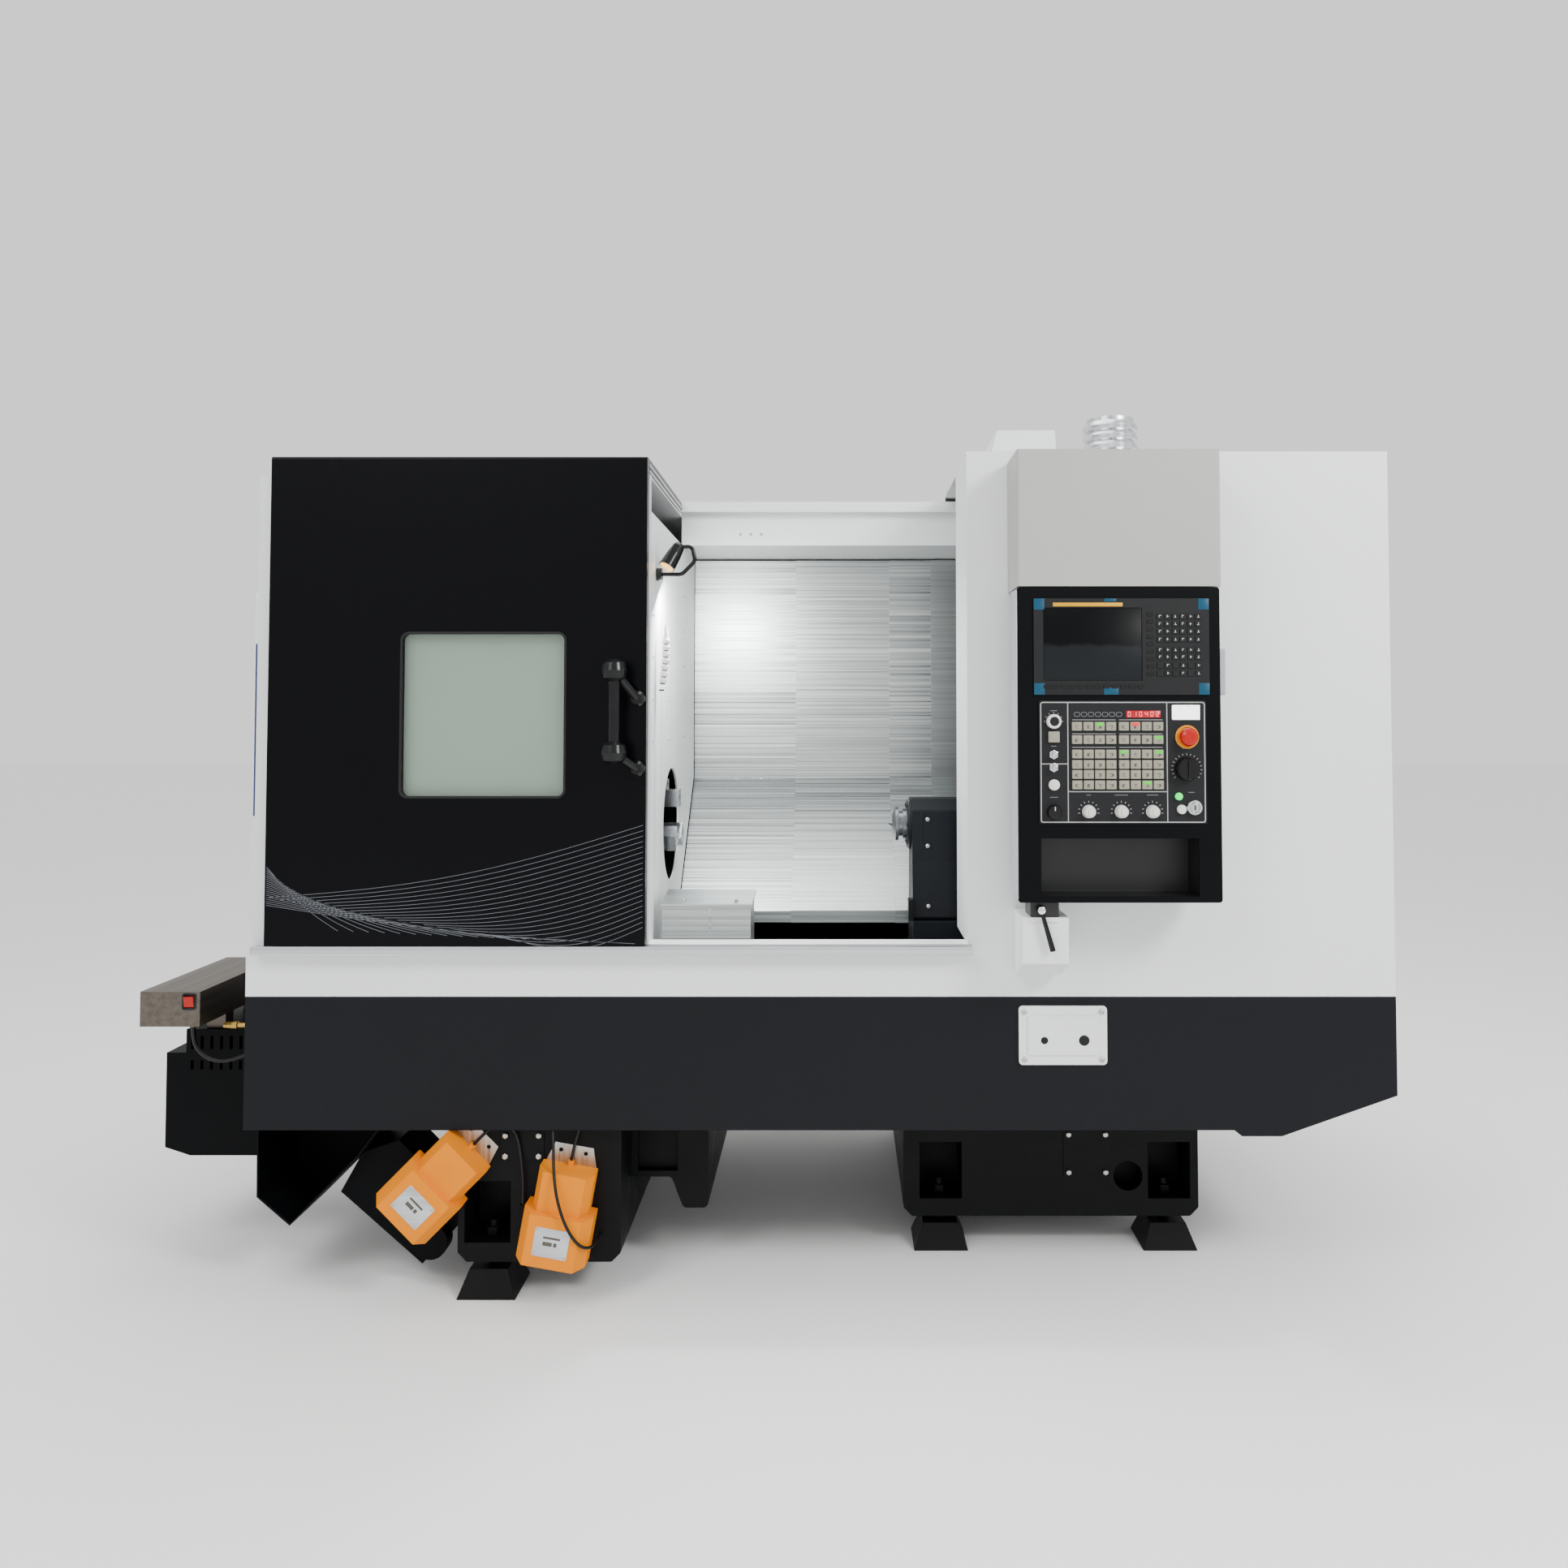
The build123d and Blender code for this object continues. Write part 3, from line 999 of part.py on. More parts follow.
pieces = {
    "bed_casting": bed_casting(),
    "levelling_feet": levelling_feet(),
    "base_skirt": base_skirt(),
    "front_guard": front_guard(),
    "door_track": door_track(),
    "left_end_guard": left_end_guard(),
    "right_end_guard": right_end_guard(),
    "rear_guard": rear_guard(),
    "service_plate": service_plate(),
    "door_panel": door_panel(),
    "door_window": door_window(),
    "door_handle": door_handle(),
    "inner_wall": inner_wall(),
    "chip_tray": chip_tray(),
    "way_cover_1": cover_sheet(3, OPENING_LEFT, 95),
    "way_cover_2": cover_sheet(2, 71, 390),
    "way_cover_3": cover_sheet(1, 366, 685),
    "tool_setter_box": tool_setter_box(),
    "work_lamp": work_lamp(),
    "coolant_hose": coolant_hose(),
    "headstock": headstock(),
    "spindle": spindle(),
    "chuck_body": chuck_body(),
    "tailstock_body": tailstock_body(),
    "quill": quill(),
    "saddle": saddle(),
    "cross_slide": cross_slide(),
    "turret_disc": turret_disc(),
    "pendant_head": pendant_head(),
    "pendant_foot": pendant_foot(),
    "pendant_housing": pendant_housing(),
    "pendant_front": pendant_front(),
    "lcd_unit": lcd_unit(),
    "operator_panel": operator_panel(),
    "e_stop": e_stop(),
    "override_knob": knob(OVERRIDE, 27.0, 23.7),
    "clamp_lever": clamp_lever(),
    "extract_duct": extract_duct(),
    "signal_lamp": signal_lamp(),
    "pump_cover": pump_cover(),
    "oil_skimmer": oil_skimmer(),
    "rocker_switch": rocker_switch(),
    "chip_chute": chip_chute(),
    "brass_cocks": brass_cocks(),
    "skimmer_cable": cable(SKIMMER_CABLE, SKIMMER_CABLE_RADIUS),
    "left_pedal_cable": cable(LEFT_CABLE, PEDAL_CABLE_RADIUS),
    "right_pedal_cable": cable(RIGHT_CABLE, PEDAL_CABLE_RADIUS),
    "pedal_plates": [hung(side, pedal_plate()) for side in PEDALS],
    "electrical_cabinet": electrical_cabinet(),
    "cabinet_door": cabinet_door(),
}
for station in range(3):
    pieces[f"jaw_{station + 1}"] = jaw(station)
for name, centre in zip("abc", SELECTORS):
    pieces[f"selector_{name}"] = knob(centre, 15.0, 20.0)
for side in PEDALS:
    pieces[f"{side}_pedal_guard"] = hung(side, pedal_guard())
    pieces[f"{side}_treadle"] = hung(side, treadle())

os.makedirs("parts", exist_ok=True)
for node, shape in pieces.items():
    whole = Compound(children=shape) if isinstance(shape, list) else shape
    export_step(whole, f"parts/{node}.step")
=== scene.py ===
import math

import bpy
import numpy as np
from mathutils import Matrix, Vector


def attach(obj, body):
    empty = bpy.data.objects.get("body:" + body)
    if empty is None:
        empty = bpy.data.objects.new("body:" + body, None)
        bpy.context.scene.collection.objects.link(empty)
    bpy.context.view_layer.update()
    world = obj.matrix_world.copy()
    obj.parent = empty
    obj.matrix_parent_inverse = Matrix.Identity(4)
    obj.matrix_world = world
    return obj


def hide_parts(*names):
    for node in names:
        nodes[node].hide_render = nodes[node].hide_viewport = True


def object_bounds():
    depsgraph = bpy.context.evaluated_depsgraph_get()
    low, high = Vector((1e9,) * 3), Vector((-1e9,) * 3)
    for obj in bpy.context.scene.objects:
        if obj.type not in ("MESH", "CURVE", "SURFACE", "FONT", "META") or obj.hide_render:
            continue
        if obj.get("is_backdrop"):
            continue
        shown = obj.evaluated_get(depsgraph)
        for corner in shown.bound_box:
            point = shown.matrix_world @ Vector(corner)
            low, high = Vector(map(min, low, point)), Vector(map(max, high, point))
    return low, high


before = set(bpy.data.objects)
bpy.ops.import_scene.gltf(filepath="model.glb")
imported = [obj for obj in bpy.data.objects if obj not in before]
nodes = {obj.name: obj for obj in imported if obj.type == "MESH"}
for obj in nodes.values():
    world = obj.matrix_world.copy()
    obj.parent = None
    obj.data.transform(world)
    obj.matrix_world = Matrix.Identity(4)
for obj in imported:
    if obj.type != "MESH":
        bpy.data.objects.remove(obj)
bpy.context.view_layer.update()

MM = 0.001

# Camera: held 1.39 m over the floor before the opening and aimed two degrees up. The picture is cropped
# low and to the left of the lens axis, which the two shifts repeat.
PICTURE = 1932.0
LENS_PIXELS = 1465.0
AXIS_PIXEL = (1030.0, 829.0)
EYE = (0.198, -3.588, 1.390)
DEGREES_FROM_DOWN = 92.0
lens = bpy.data.cameras.new("camera")
lens.sensor_width = 36.0
lens.lens = lens.sensor_width * LENS_PIXELS / PICTURE
lens.shift_x = 0.5 - AXIS_PIXEL[0] / PICTURE
lens.shift_y = AXIS_PIXEL[1] / PICTURE - 0.5
camera = bpy.data.objects.new("camera", lens)
camera.location = EYE
camera.rotation_euler = (math.radians(DEGREES_FROM_DOWN), 0.0, 0.0)
bpy.context.scene.collection.objects.link(camera)
bpy.context.scene.camera = camera


# Cables: PVC-sheathed flex, out of a gland, over in a loose loop and into the machine. The two at the
# foot switches are thin and soft; the skimmer's is thicker.
def hex_colour(digits):
    """Six sRGB hex digits as linear red, green, blue and an alpha of one."""
    channels = np.array([int(digits[k:k + 2], 16) for k in (0, 2, 4)]) / 255
    linear = np.where(channels <= 0.04045, channels / 12.92, ((channels + 0.055) / 1.055) ** 2.4)
    return (*linear.tolist(), 1.0)


def add(tree, kind, wires, **settings):
    """Adds a node with its settings. Each wire is an input's name or place, with a value or an output."""
    node = tree.nodes.new(kind)
    for name, value in settings.items():
        setattr(node, name, value)
    for name, value in wires.items():
        if isinstance(value, bpy.types.NodeSocket):
            tree.links.new(value, node.inputs[name])
        else:
            node.inputs[name].default_value = value
    return node


def finish(name, sockets):
    """A new material, its constants set on the shader: (material, tree, shader, object coordinates)."""
    material = bpy.data.materials.new(name)
    material.use_nodes = True
    tree = material.node_tree
    shader = tree.nodes["Principled BSDF"]
    for socket, value in sockets.items():
        shader.inputs[socket].default_value = value
    return material, tree, shader, add(tree, "ShaderNodeTexCoord", {}).outputs["Object"]


def moulded(name, colour, shade, roughness, grain):
    """Moulded plastic or rubber: two close tones in clouds and a fine spark-eroded grain of that many mm."""
    material, tree, shader, place = finish(name, {"IOR": 1.5, "Specular IOR Level": 0.3})
    cloud = add(tree, "ShaderNodeTexNoise", {"Vector": place, "Scale": 1 / (40 * MM), "Detail": 3.0})
    tone = add(tree, "ShaderNodeMix", {0: cloud.outputs[0], 6: hex_colour(colour), 7: hex_colour(shade)},
               data_type="RGBA")
    pits = add(tree, "ShaderNodeTexNoise", {"Vector": place, "Scale": 1 / (grain * MM), "Detail": 2.0})
    worn = add(tree, "ShaderNodeMapRange", {"Value": cloud.outputs[0], "To Min": roughness - 0.07,
                                            "To Max": roughness + 0.07})
    bump = add(tree, "ShaderNodeBump", {"Height": pits.outputs[0], "Strength": 0.25, "Distance": 0.2 * MM})
    tree.links.new(tone.outputs[2], shader.inputs["Base Color"])
    tree.links.new(worn.outputs[0], shader.inputs["Roughness"])
    tree.links.new(bump.outputs[0], shader.inputs["Normal"])
    return material


# Extruded PVC: matt black with a soft sheen and a faint die-line grain.
pvc_sheath = moulded("extruded_pvc_sheath", "060708", "0c0d0f", 0.45, 1.5)

LEFT_PEDAL_ROUTE = [
    (-664.4, -719, 366.6), (-646.4, -719, 384.6), (-628, -718.5, 402), (-608, -718, 415), (-585, -717, 414),
    (-568, -716.5, 398), (-558.5, -716.5, 371), (-553, -716.5, 338), (-549, -717, 306), (-546.5, -717.5, 278),
    (-546, -718, 251), (-546, -718, 225),
]
RIGHT_PEDAL_ROUTE = [
    (-431.92, -719, 329.5), (-427.3, -719, 355.6), (-419, -719, 383), (-411, -719, 411), (-416, -719, 438),
    (-435, -719.5, 454), (-459, -720, 450), (-473, -721, 431), (-475, -725, 408), (-471, -737, 386),
    (-466, -756, 364), (-461, -776, 340), (-455, -793, 313), (-448, -804, 282), (-438, -809, 249),
    (-425, -812, 216), (-409, -810, 186), (-392, -799, 161), (-377, -779, 149), (-368, -753, 147),
    (-364, -728, 150), (-364, -705, 150),
]
SKIMMER_ROUTE = [
    (-1409, -585, 610), (-1409, -585, 582), (-1398, -585, 552), (-1366, -586, 528), (-1324, -587, 524),
    (-1282, -587, 538), (-1245, -585, 554), (-1207, -585, 554),
]


def lay_cable(node, route, diameter):
    """A round sheath along one smooth line, with its route as control points. Its length and diameter are the
    real cable's, in mm."""
    curve = bpy.data.curves.new(node + "_sheath", "CURVE")
    curve.dimensions = "3D"
    curve.bevel_depth = diameter / 2 * MM
    curve.bevel_resolution = 5
    curve.resolution_u = 6
    curve.use_fill_caps = True
    spline = curve.splines.new("NURBS")
    points = np.array(route) * MM
    spline.points.add(len(points) - 1)
    spline.points.foreach_set("co", np.column_stack([points, np.ones(len(points))]).ravel())
    spline.order_u = 3
    spline.use_endpoint_u = True
    sheath = bpy.data.objects.new(node + "_sheath", curve)
    bpy.context.scene.collection.objects.link(sheath)
    curve.materials.append(pvc_sheath)
    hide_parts(node)
    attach(sheath, "machine")


lay_cable("left_pedal_cable", LEFT_PEDAL_ROUTE, 7.0)
lay_cable("right_pedal_cable", RIGHT_PEDAL_ROUTE, 7.0)
lay_cable("skimmer_cable", SKIMMER_ROUTE, 10.0)


# Bed and carriage castings: grey iron, shot-blasted and sprayed charcoal. The sand mould leaves soft
# lumps and a fine rough skin under the paint.
def dress(material, *names):
    """Gives CAD nodes one finish."""
    for name in names:
        nodes[name].data.materials.clear()
        nodes[name].data.materials.append(material)


def painted_casting(name, colour, shade, gloss_level):
    """Sprayed iron: lumps of a hand's width, sand grain of 4 mm, and paint rubbed lighter in patches."""
    material, tree, shader, place = finish(name, {"Specular IOR Level": gloss_level})
    lumps = add(tree, "ShaderNodeTexNoise", {"Vector": place, "Scale": 1 / (60 * MM), "Detail": 5.0})
    sand = add(tree, "ShaderNodeTexNoise", {"Vector": place, "Scale": 1 / (4 * MM), "Detail": 3.0})
    tone = add(tree, "ShaderNodeMix", {0: lumps.outputs[0], 6: hex_colour(colour), 7: hex_colour(shade)},
               data_type="RGBA")
    gloss = add(tree, "ShaderNodeMapRange", {"Value": lumps.outputs[0], "To Min": 0.38, "To Max": 0.62})
    edge = add(tree, "ShaderNodeBevel", {"Radius": 2.5 * MM}, samples=4)
    swell = add(tree, "ShaderNodeBump", {"Height": lumps.outputs[0], "Strength": 0.3, "Distance": 3 * MM,
                                         "Normal": edge.outputs[0]})
    bump = add(tree, "ShaderNodeBump", {"Height": sand.outputs[0], "Strength": 0.3, "Distance": 0.5 * MM,
                                        "Normal": swell.outputs[0]})
    tree.links.new(tone.outputs[2], shader.inputs["Base Color"])
    tree.links.new(gloss.outputs[0], shader.inputs["Roughness"])
    tree.links.new(bump.outputs[0], shader.inputs["Normal"])
    return material


charcoal_casting = painted_casting("sprayed_grey_iron", "050607", "0a0b0c", 0.12)
dress(charcoal_casting, "bed_casting", "headstock", "cross_slide")


# Bolts of the two cover plates on the pedestals: hexagon heads of drawn steel, one in each corner of a
# plate. The zinc plating gives them a pale, slightly milky shine.
def darkened(tree, place, tone, limits):
    """The tone, turned to black inside all of the limits, (axis, side, mm)."""
    mask = 1.0
    for axis, side, limit in limits:
        along = add(tree, "ShaderNodeSeparateXYZ", {0: place}).outputs[axis]
        inside = add(tree, "ShaderNodeMath", {0: along, 1: limit * MM}, operation=side)
        mask = add(tree, "ShaderNodeMath", {0: inside.outputs[0], 1: mask}, operation="MULTIPLY").outputs[0]
    if not limits:
        return tone
    return add(tree, "ShaderNodeMix", {0: mask, 6: tone.outputs[2], 7: hex_colour("08090b")},
               data_type="RGBA")


def drawn_metal(name, colour, shade, roughness, long_axis, streak, dark_part=()):
    """Bare metal with lines along one axis: streaks 2.5 m long and that many mm wide, in tone, gloss and
    bump. Inside all of the dark part's limits it is black."""
    material, tree, shader, place = finish(name, {"Metallic": 1.0})
    scale = [1 / (streak * MM)] * 3
    scale["XYZ".index(long_axis)] = 1 / (2500 * MM)
    stretched = add(tree, "ShaderNodeMapping", {"Vector": place, "Scale": scale})
    lines = add(tree, "ShaderNodeTexNoise", {"Vector": stretched.outputs[0], "Scale": 1.0, "Detail": 6.0,
                                             "Roughness": 0.7})
    worn = add(tree, "ShaderNodeMapRange", {"Value": lines.outputs[0], "From Min": 0.35, "From Max": 0.65})
    tone = add(tree, "ShaderNodeMix", {0: worn.outputs[0], 6: hex_colour(shade), 7: hex_colour(colour)},
               data_type="RGBA")
    tone = darkened(tree, place, tone, dark_part)
    gloss = add(tree, "ShaderNodeMapRange", {"Value": worn.outputs[0], "To Min": roughness - 0.1,
                                             "To Max": roughness + 0.12})
    edge = add(tree, "ShaderNodeBevel", {"Radius": 1.0 * MM}, samples=4)
    bump = add(tree, "ShaderNodeBump", {"Height": lines.outputs[0], "Strength": 0.15, "Distance": 0.3 * MM,
                                        "Normal": edge.outputs[0]})
    tree.links.new(tone.outputs[2], shader.inputs["Base Color"])
    tree.links.new(gloss.outputs[0], shader.inputs["Roughness"])
    tree.links.new(bump.outputs[0], shader.inputs["Normal"])
    return material


def shell(name, body, material, grid, ring=False):
    """Closed shells from a grid of points in mm: shell, row, place round the row, xyz. Quads join each row
    to the next; the last row meets the first in a ring, and otherwise both end rows are capped."""
    count, rows, around = grid.shape[:3]
    index = np.arange(count * rows * around).reshape(count, rows, around)
    lower = index if ring else index[:, :-1]
    upper = np.roll(index, -1, axis=1) if ring else index[:, 1:]
    quads = np.stack([lower, np.roll(lower, -1, axis=2), np.roll(upper, -1, axis=2), upper], axis=-1)
    faces = quads.reshape(-1, 4).tolist()
    if not ring:
        faces += index[:, 0, ::-1].tolist() + index[:, -1].tolist()
    mesh = bpy.data.meshes.new(name)
    mesh.from_pydata((grid.reshape(-1, 3) * MM).tolist(), [], faces)
    mesh.shade_smooth()
    mesh.set_sharp_from_angle(angle=math.radians(38.0))
    mesh.materials.append(material)
    piece = bpy.data.objects.new(name, mesh)
    bpy.context.scene.collection.objects.link(piece)
    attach(piece, body)


def raised(name, body, material, centres, sizes, corner, profile, facing, sides=16, ring=False):
    """Like caps or plates on a flat face. Each row is a round-cornered rectangle: a circle of the corner's
    radius with its quarters pushed out to the four corners. The profile gives each row's (inset, lift) in
    mm."""
    right, up, out = np.array(facing, float)
    turn = (np.arange(sides) + 0.5) * 2 * np.pi / sides
    circle = np.stack([np.cos(turn), np.sin(turn)], axis=-1)
    inset, lift = np.array(profile, float).T
    centres = np.array(centres, float)
    half = np.broadcast_to(np.array(sizes, float) / 2, (len(centres), 2))
    half = half[:, None] - inset[:, None]
    radius = np.minimum(np.maximum(corner - inset, 0.1)[:, None], half.min(axis=-1, keepdims=True))
    flat = (half - radius)[:, :, None] * np.sign(circle) + radius[:, :, None] * circle
    grid = centres[:, None, None] + flat[..., :1] * right + flat[..., 1:] * up + lift[:, None, None] * out
    shell(name, body, material, grid, ring)


FRONT_FACING = ((1, 0, 0), (0, 0, 1), (0, -1, 0))
HEX_HEAD = [(0, 0), (0, 5), (1.5, 6.5), (3, 7)]
zinc = drawn_metal("zinc_plated_steel", "c9cac4", "a3a49d", 0.35, "Z", 10.0)
LEFT_PLATE_FACE = -708.0
RIGHT_PLATE_FACE = -448.0
bolts = [(x, LEFT_PLATE_FACE, z) for x in (-592, -512) for z in (335, 384)]
bolts += [(x, RIGHT_PLATE_FACE, z) for x in (804, 900) for z in (199, 296)]
raised("bed_plate_bolts", "machine", zinc, bolts, (15, 15), 7.5, HEX_HEAD, FRONT_FACING, sides=6)


# Levelling feet: tapered steel pads on the floor, each under a screw that runs up into a pedestal. A black
# oxide skin gives them a soft dark sheen.
black_oxide = painted_casting("black_oxide_steel", "060607", "0d0d0f", 0.15)
dress(black_oxide, "levelling_feet")


# Skirt: folded 3 mm sheet along the front and both ends, with the guards standing on its upper edge. Its
# charcoal powder coat cures to a satin face with a little orange peel.
def sprayed(name, colour, shade, roughness, peel, gloss_level=0.5, dark_part=()):
    """Coated sheet: two close tones that drift over 300 mm, orange peel of that many mm, softened folds.
    Inside all of the dark part's limits the coat is black."""
    material, tree, shader, place = finish(name, {"Specular IOR Level": gloss_level})
    drift = add(tree, "ShaderNodeTexNoise", {"Vector": place, "Scale": 1 / (300 * MM), "Detail": 5.0})
    tone = add(tree, "ShaderNodeMix", {0: drift.outputs[0], 6: hex_colour(colour), 7: hex_colour(shade)},
               data_type="RGBA")
    tone = darkened(tree, place, tone, dark_part)
    smears = add(tree, "ShaderNodeTexNoise", {"Vector": place, "Scale": 1 / (45 * MM), "Detail": 6.0})
    gloss = add(tree, "ShaderNodeMapRange", {"Value": smears.outputs[0], "From Min": 0.3, "From Max": 0.7,
                                             "To Min": roughness - 0.02, "To Max": roughness + 0.02})
    skin = add(tree, "ShaderNodeTexNoise", {"Vector": place, "Scale": 1 / (peel * MM), "Detail": 1.0})
    edge = add(tree, "ShaderNodeBevel", {"Radius": 1.5 * MM}, samples=4)
    bump = add(tree, "ShaderNodeBump", {"Height": skin.outputs[0], "Strength": 0.1, "Distance": 0.3 * MM,
                                        "Normal": edge.outputs[0]})
    tree.links.new(tone.outputs[2], shader.inputs["Base Color"])
    tree.links.new(gloss.outputs[0], shader.inputs["Roughness"])
    tree.links.new(bump.outputs[0], shader.inputs["Normal"])
    return material


charcoal_powder = sprayed("charcoal_powder_coat", "0c0d11", "0f1015", 0.45, 5.0, gloss_level=0.15)
dress(charcoal_powder, "base_skirt")


# Guards: folded 3 mm sheet, powder-coated a cool light grey that reads as white, screwed together along
# the folds at the left end and the back with low zinc screws.
white_powder = sprayed("light_grey_powder_coat", "e4e6e6", "dddfe0", 0.4, 4.0)
dress(white_powder, "front_guard", "left_end_guard", "right_end_guard", "rear_guard", "service_plate")
RIGHT_FACING = ((0, 1, 0), (0, 0, 1), (1, 0, 0))
LEFT_FACING = ((0, -1, 0), (0, 0, 1), (-1, 0, 0))
BACK_FACING = ((-1, 0, 0), (0, 0, 1), (0, 1, 0))
SCREW_HEAD = [(0, 0), (0.3, 0.8), (1.8, 1.6), (3.2, 1.7), (3.3, 0.6)]
LEFT_WALL = -1193.0
BACK_WALL = 563.0
levels = np.linspace(760, 1940, 8)
sheet_screws = {
    "left": (LEFT_FACING, [(LEFT_WALL, y, z) for y in (-712, 536) for z in levels]),
    "back": (BACK_FACING, [(x, BACK_WALL, z) for x in (-1170, -640, 940, 1508) for z in levels]),
}
for side, (facing, centres) in sheet_screws.items():
    raised(side + "_guard_screws", "machine", zinc, centres, (12, 12), 6, SCREW_HEAD, facing, sides=12)

# Closing strips: folded strips of the same coated sheet shut the header's left end and the step up to the
# right-hand roof.
HEADER_LEFT = -252.0
RIGHT_ROOF_LEFT = 516.0
closing_strips = [(HEADER_LEFT, 212, 1989.5), (RIGHT_ROOF_LEFT, 212, 2016)]
raised("roof_closing_strips", "machine", white_powder, closing_strips, [(692, 42), (692, 14)], 1,
       [(0, -2), (0, 1), (0.5, 1.5)], LEFT_FACING)

# Header's right end: the header's folded section, with its ledge and its lower flange, runs on behind the
# right-hand jamb. The outline of the fold is carried straight along X.
SHEET = 3.0
HEADER_FACE = -135.0
HEADER_BOTTOM = 1882.0
HEADER_TOP = 2011.0
LEDGE_FRONT = -161.0
LEDGE_TOP = 1979.0
FLANGE_BACK = 181.0
HEADER_END = (513.0, 620.0)
header_fold = np.array([
    (HEADER_FACE, HEADER_TOP), (HEADER_FACE, LEDGE_TOP), (LEDGE_FRONT, LEDGE_TOP),
    (LEDGE_FRONT, LEDGE_TOP - SHEET), (HEADER_FACE, LEDGE_TOP - SHEET), (HEADER_FACE, HEADER_BOTTOM),
    (FLANGE_BACK, HEADER_BOTTOM), (FLANGE_BACK, HEADER_BOTTOM + SHEET),
    (HEADER_FACE + SHEET, HEADER_BOTTOM + SHEET), (HEADER_FACE + SHEET, HEADER_TOP),
])
header_rows = [np.column_stack([np.full(len(header_fold), x), header_fold]) for x in HEADER_END]
shell("header_end", "machine", white_powder, np.array([header_rows]))

# Actuator hood: a narrow dark blue strip on the front face of the hood that stands out of the left end,
# drawn where that face shows a narrow dark recess. The strip is smooth and a little glossy.
HOOD_FACE = -560.0
blue_strip = sprayed("dark_blue_hood_strip", "1d2b52", "24366a", 0.3, 2.0)
raised("hood_strip", "machine", blue_strip, [(-1274, HOOD_FACE, 1351)], (14, 438), 2,
       [(0, 0), (0, 0.6), (0.5, 0.9)], FRONT_FACING)

# Service plate: held on the skirt by four domed screws, with its two cable holes shut by rubber plugs. The
# moulded rubber is matt and nearly black.
SERVICE_PLATE_FACE = -741.0
SERVICE_PLATE_MIDDLE = -744.0
rubber = moulded("moulded_rubber", "08090a", "0f1011", 0.6, 1.5)
corners = [(x, SERVICE_PLATE_FACE, z) for x in (645, 828) for z in (573, 685)]
DOME = [(0, 0), (0, 2.6), (1, 3.8), (3, 4.6), (3.2, 3.2)]
raised("service_plate_screws", "machine", zinc, corners, (13, 13), 6.5, DOME, FRONT_FACING)
PLUG = [(0, -4), (0, 0.4), (1.2, 1.6), (4, 2.4)]
cable_holes = [(x, SERVICE_PLATE_MIDDLE, 618) for x in (692, 786)]
raised("service_plate_plugs", "machine", rubber, cable_holes, [(16.6, 16.6), (24.6, 24.6)], 12.3, PLUG,
       FRONT_FACING, sides=24)


# Door rail: an aluminium channel along the band under the opening, with two lips that the door runs on. The
# extrusion die leaves fine lines along its length.
extruded_aluminium = drawn_metal("extruded_aluminium", "dadcde", "b4b7ba", 0.32, "X", 4.0)
dress(extruded_aluminium, "door_track")


# Sliding door: folded sheet in satin black lacquer, smooth enough to mirror the room faintly. Two
# aluminium strips carry the seal under the right end of its roof.
black_lacquer = sprayed("satin_black_lacquer", "030306", "040408", 0.25, 6.0, gloss_level=0.1)
dress(black_lacquer, "door_panel")
DOOR_FACE = -767.0
DOOR_RIGHT = -252.0
strips = [(DOOR_RIGHT, -447, 1990), (DOOR_RIGHT, -447, 1976)]
raised("door_roof_strips", "door", extruded_aluminium, strips, (575, 6), 1, [(0, -6), (0, 1.6), (0.8, 2.4)],
       RIGHT_FACING)


# Door decoration: a generic net of fine crossing lines low on the door, screen-printed in matt grey ink. Each
# fan is a surface: the share goes from its top line to its bottom line and the run goes along a line. The two
# ends of a line move evenly with the share, and half a sine wave sags the line between them.
def ribbons(name, body, material, paths, width, thickness, out):
    """Flat strips along (strip, point, xyz) paths in mm: each row is a rectangle across the path, with its
    middle on the path and its height along the face's outward direction."""
    paths = np.array(paths, float)
    along = np.gradient(paths, axis=1)
    along /= np.linalg.norm(along, axis=-1, keepdims=True)
    across = np.cross(out, along) * width / 2
    lift = np.array(out, float) * thickness
    shell(name, body, material, np.stack([paths - across, paths + across, paths + across + lift,
                                          paths - across + lift], axis=2))


grey_ink = moulded("grey_screen_ink", "6a6d72", "585b60", 0.5, 1.0)
OUT = (0, -1, 0)
run = np.linspace(0, 1, 16)
share = np.linspace(0, 1, 20)[:, None]
flat = DOOR_FACE + 0 * run * share
right_fan = np.stack([-258 - (888 - 590 * share) * run, flat, 1128 - 240 * share - (170 - 140 * share) * run
                      - 34 * np.sin(np.pi * run)], axis=-1)
left_fan = np.stack([-1146 + (170 + 700 * share) * run, flat, 1030 - 90 * share - (150 - 60 * share) * run
                     - 14 * np.sin(np.pi * run)], axis=-1)
ribbons("door_right_lines", "door", grey_ink, right_fan, 1.0, 0.25, OUT)
ribbons("door_left_lines", "door", grey_ink, left_fan, 1.0, 0.25, OUT)


# Door window: laminated safety glass, a little green in its thickness, held in the cut-out by a rubber
# gasket.
laminated_glass, tree, shader, place = finish("laminated_glass", {
    "Base Color": hex_colour("d9e6db"), "IOR": 1.5, "Transmission Weight": 1.0})
dust = add(tree, "ShaderNodeTexNoise", {"Vector": place, "Scale": 1 / (25 * MM), "Detail": 6.0})
smear = add(tree, "ShaderNodeMapRange", {"Value": dust.outputs[0], "From Min": 0.4, "From Max": 0.8,
                                         "To Min": 0.03, "To Max": 0.16})
tree.links.new(smear.outputs[0], shader.inputs["Roughness"])
dress(laminated_glass, "door_window")
GASKET = [(-3, 0), (-3, 0.8), (-2, 1.4), (1, 1.4), (2.5, 0.4), (2.5, -5.5), (0, -5.5), (0, 0)]
raised("window_gasket", "door", rubber, [(-639.5, DOOR_FACE, 1388.5)], (389, 389), 18, GASKET, FRONT_FACING,
       sides=48, ring=True)


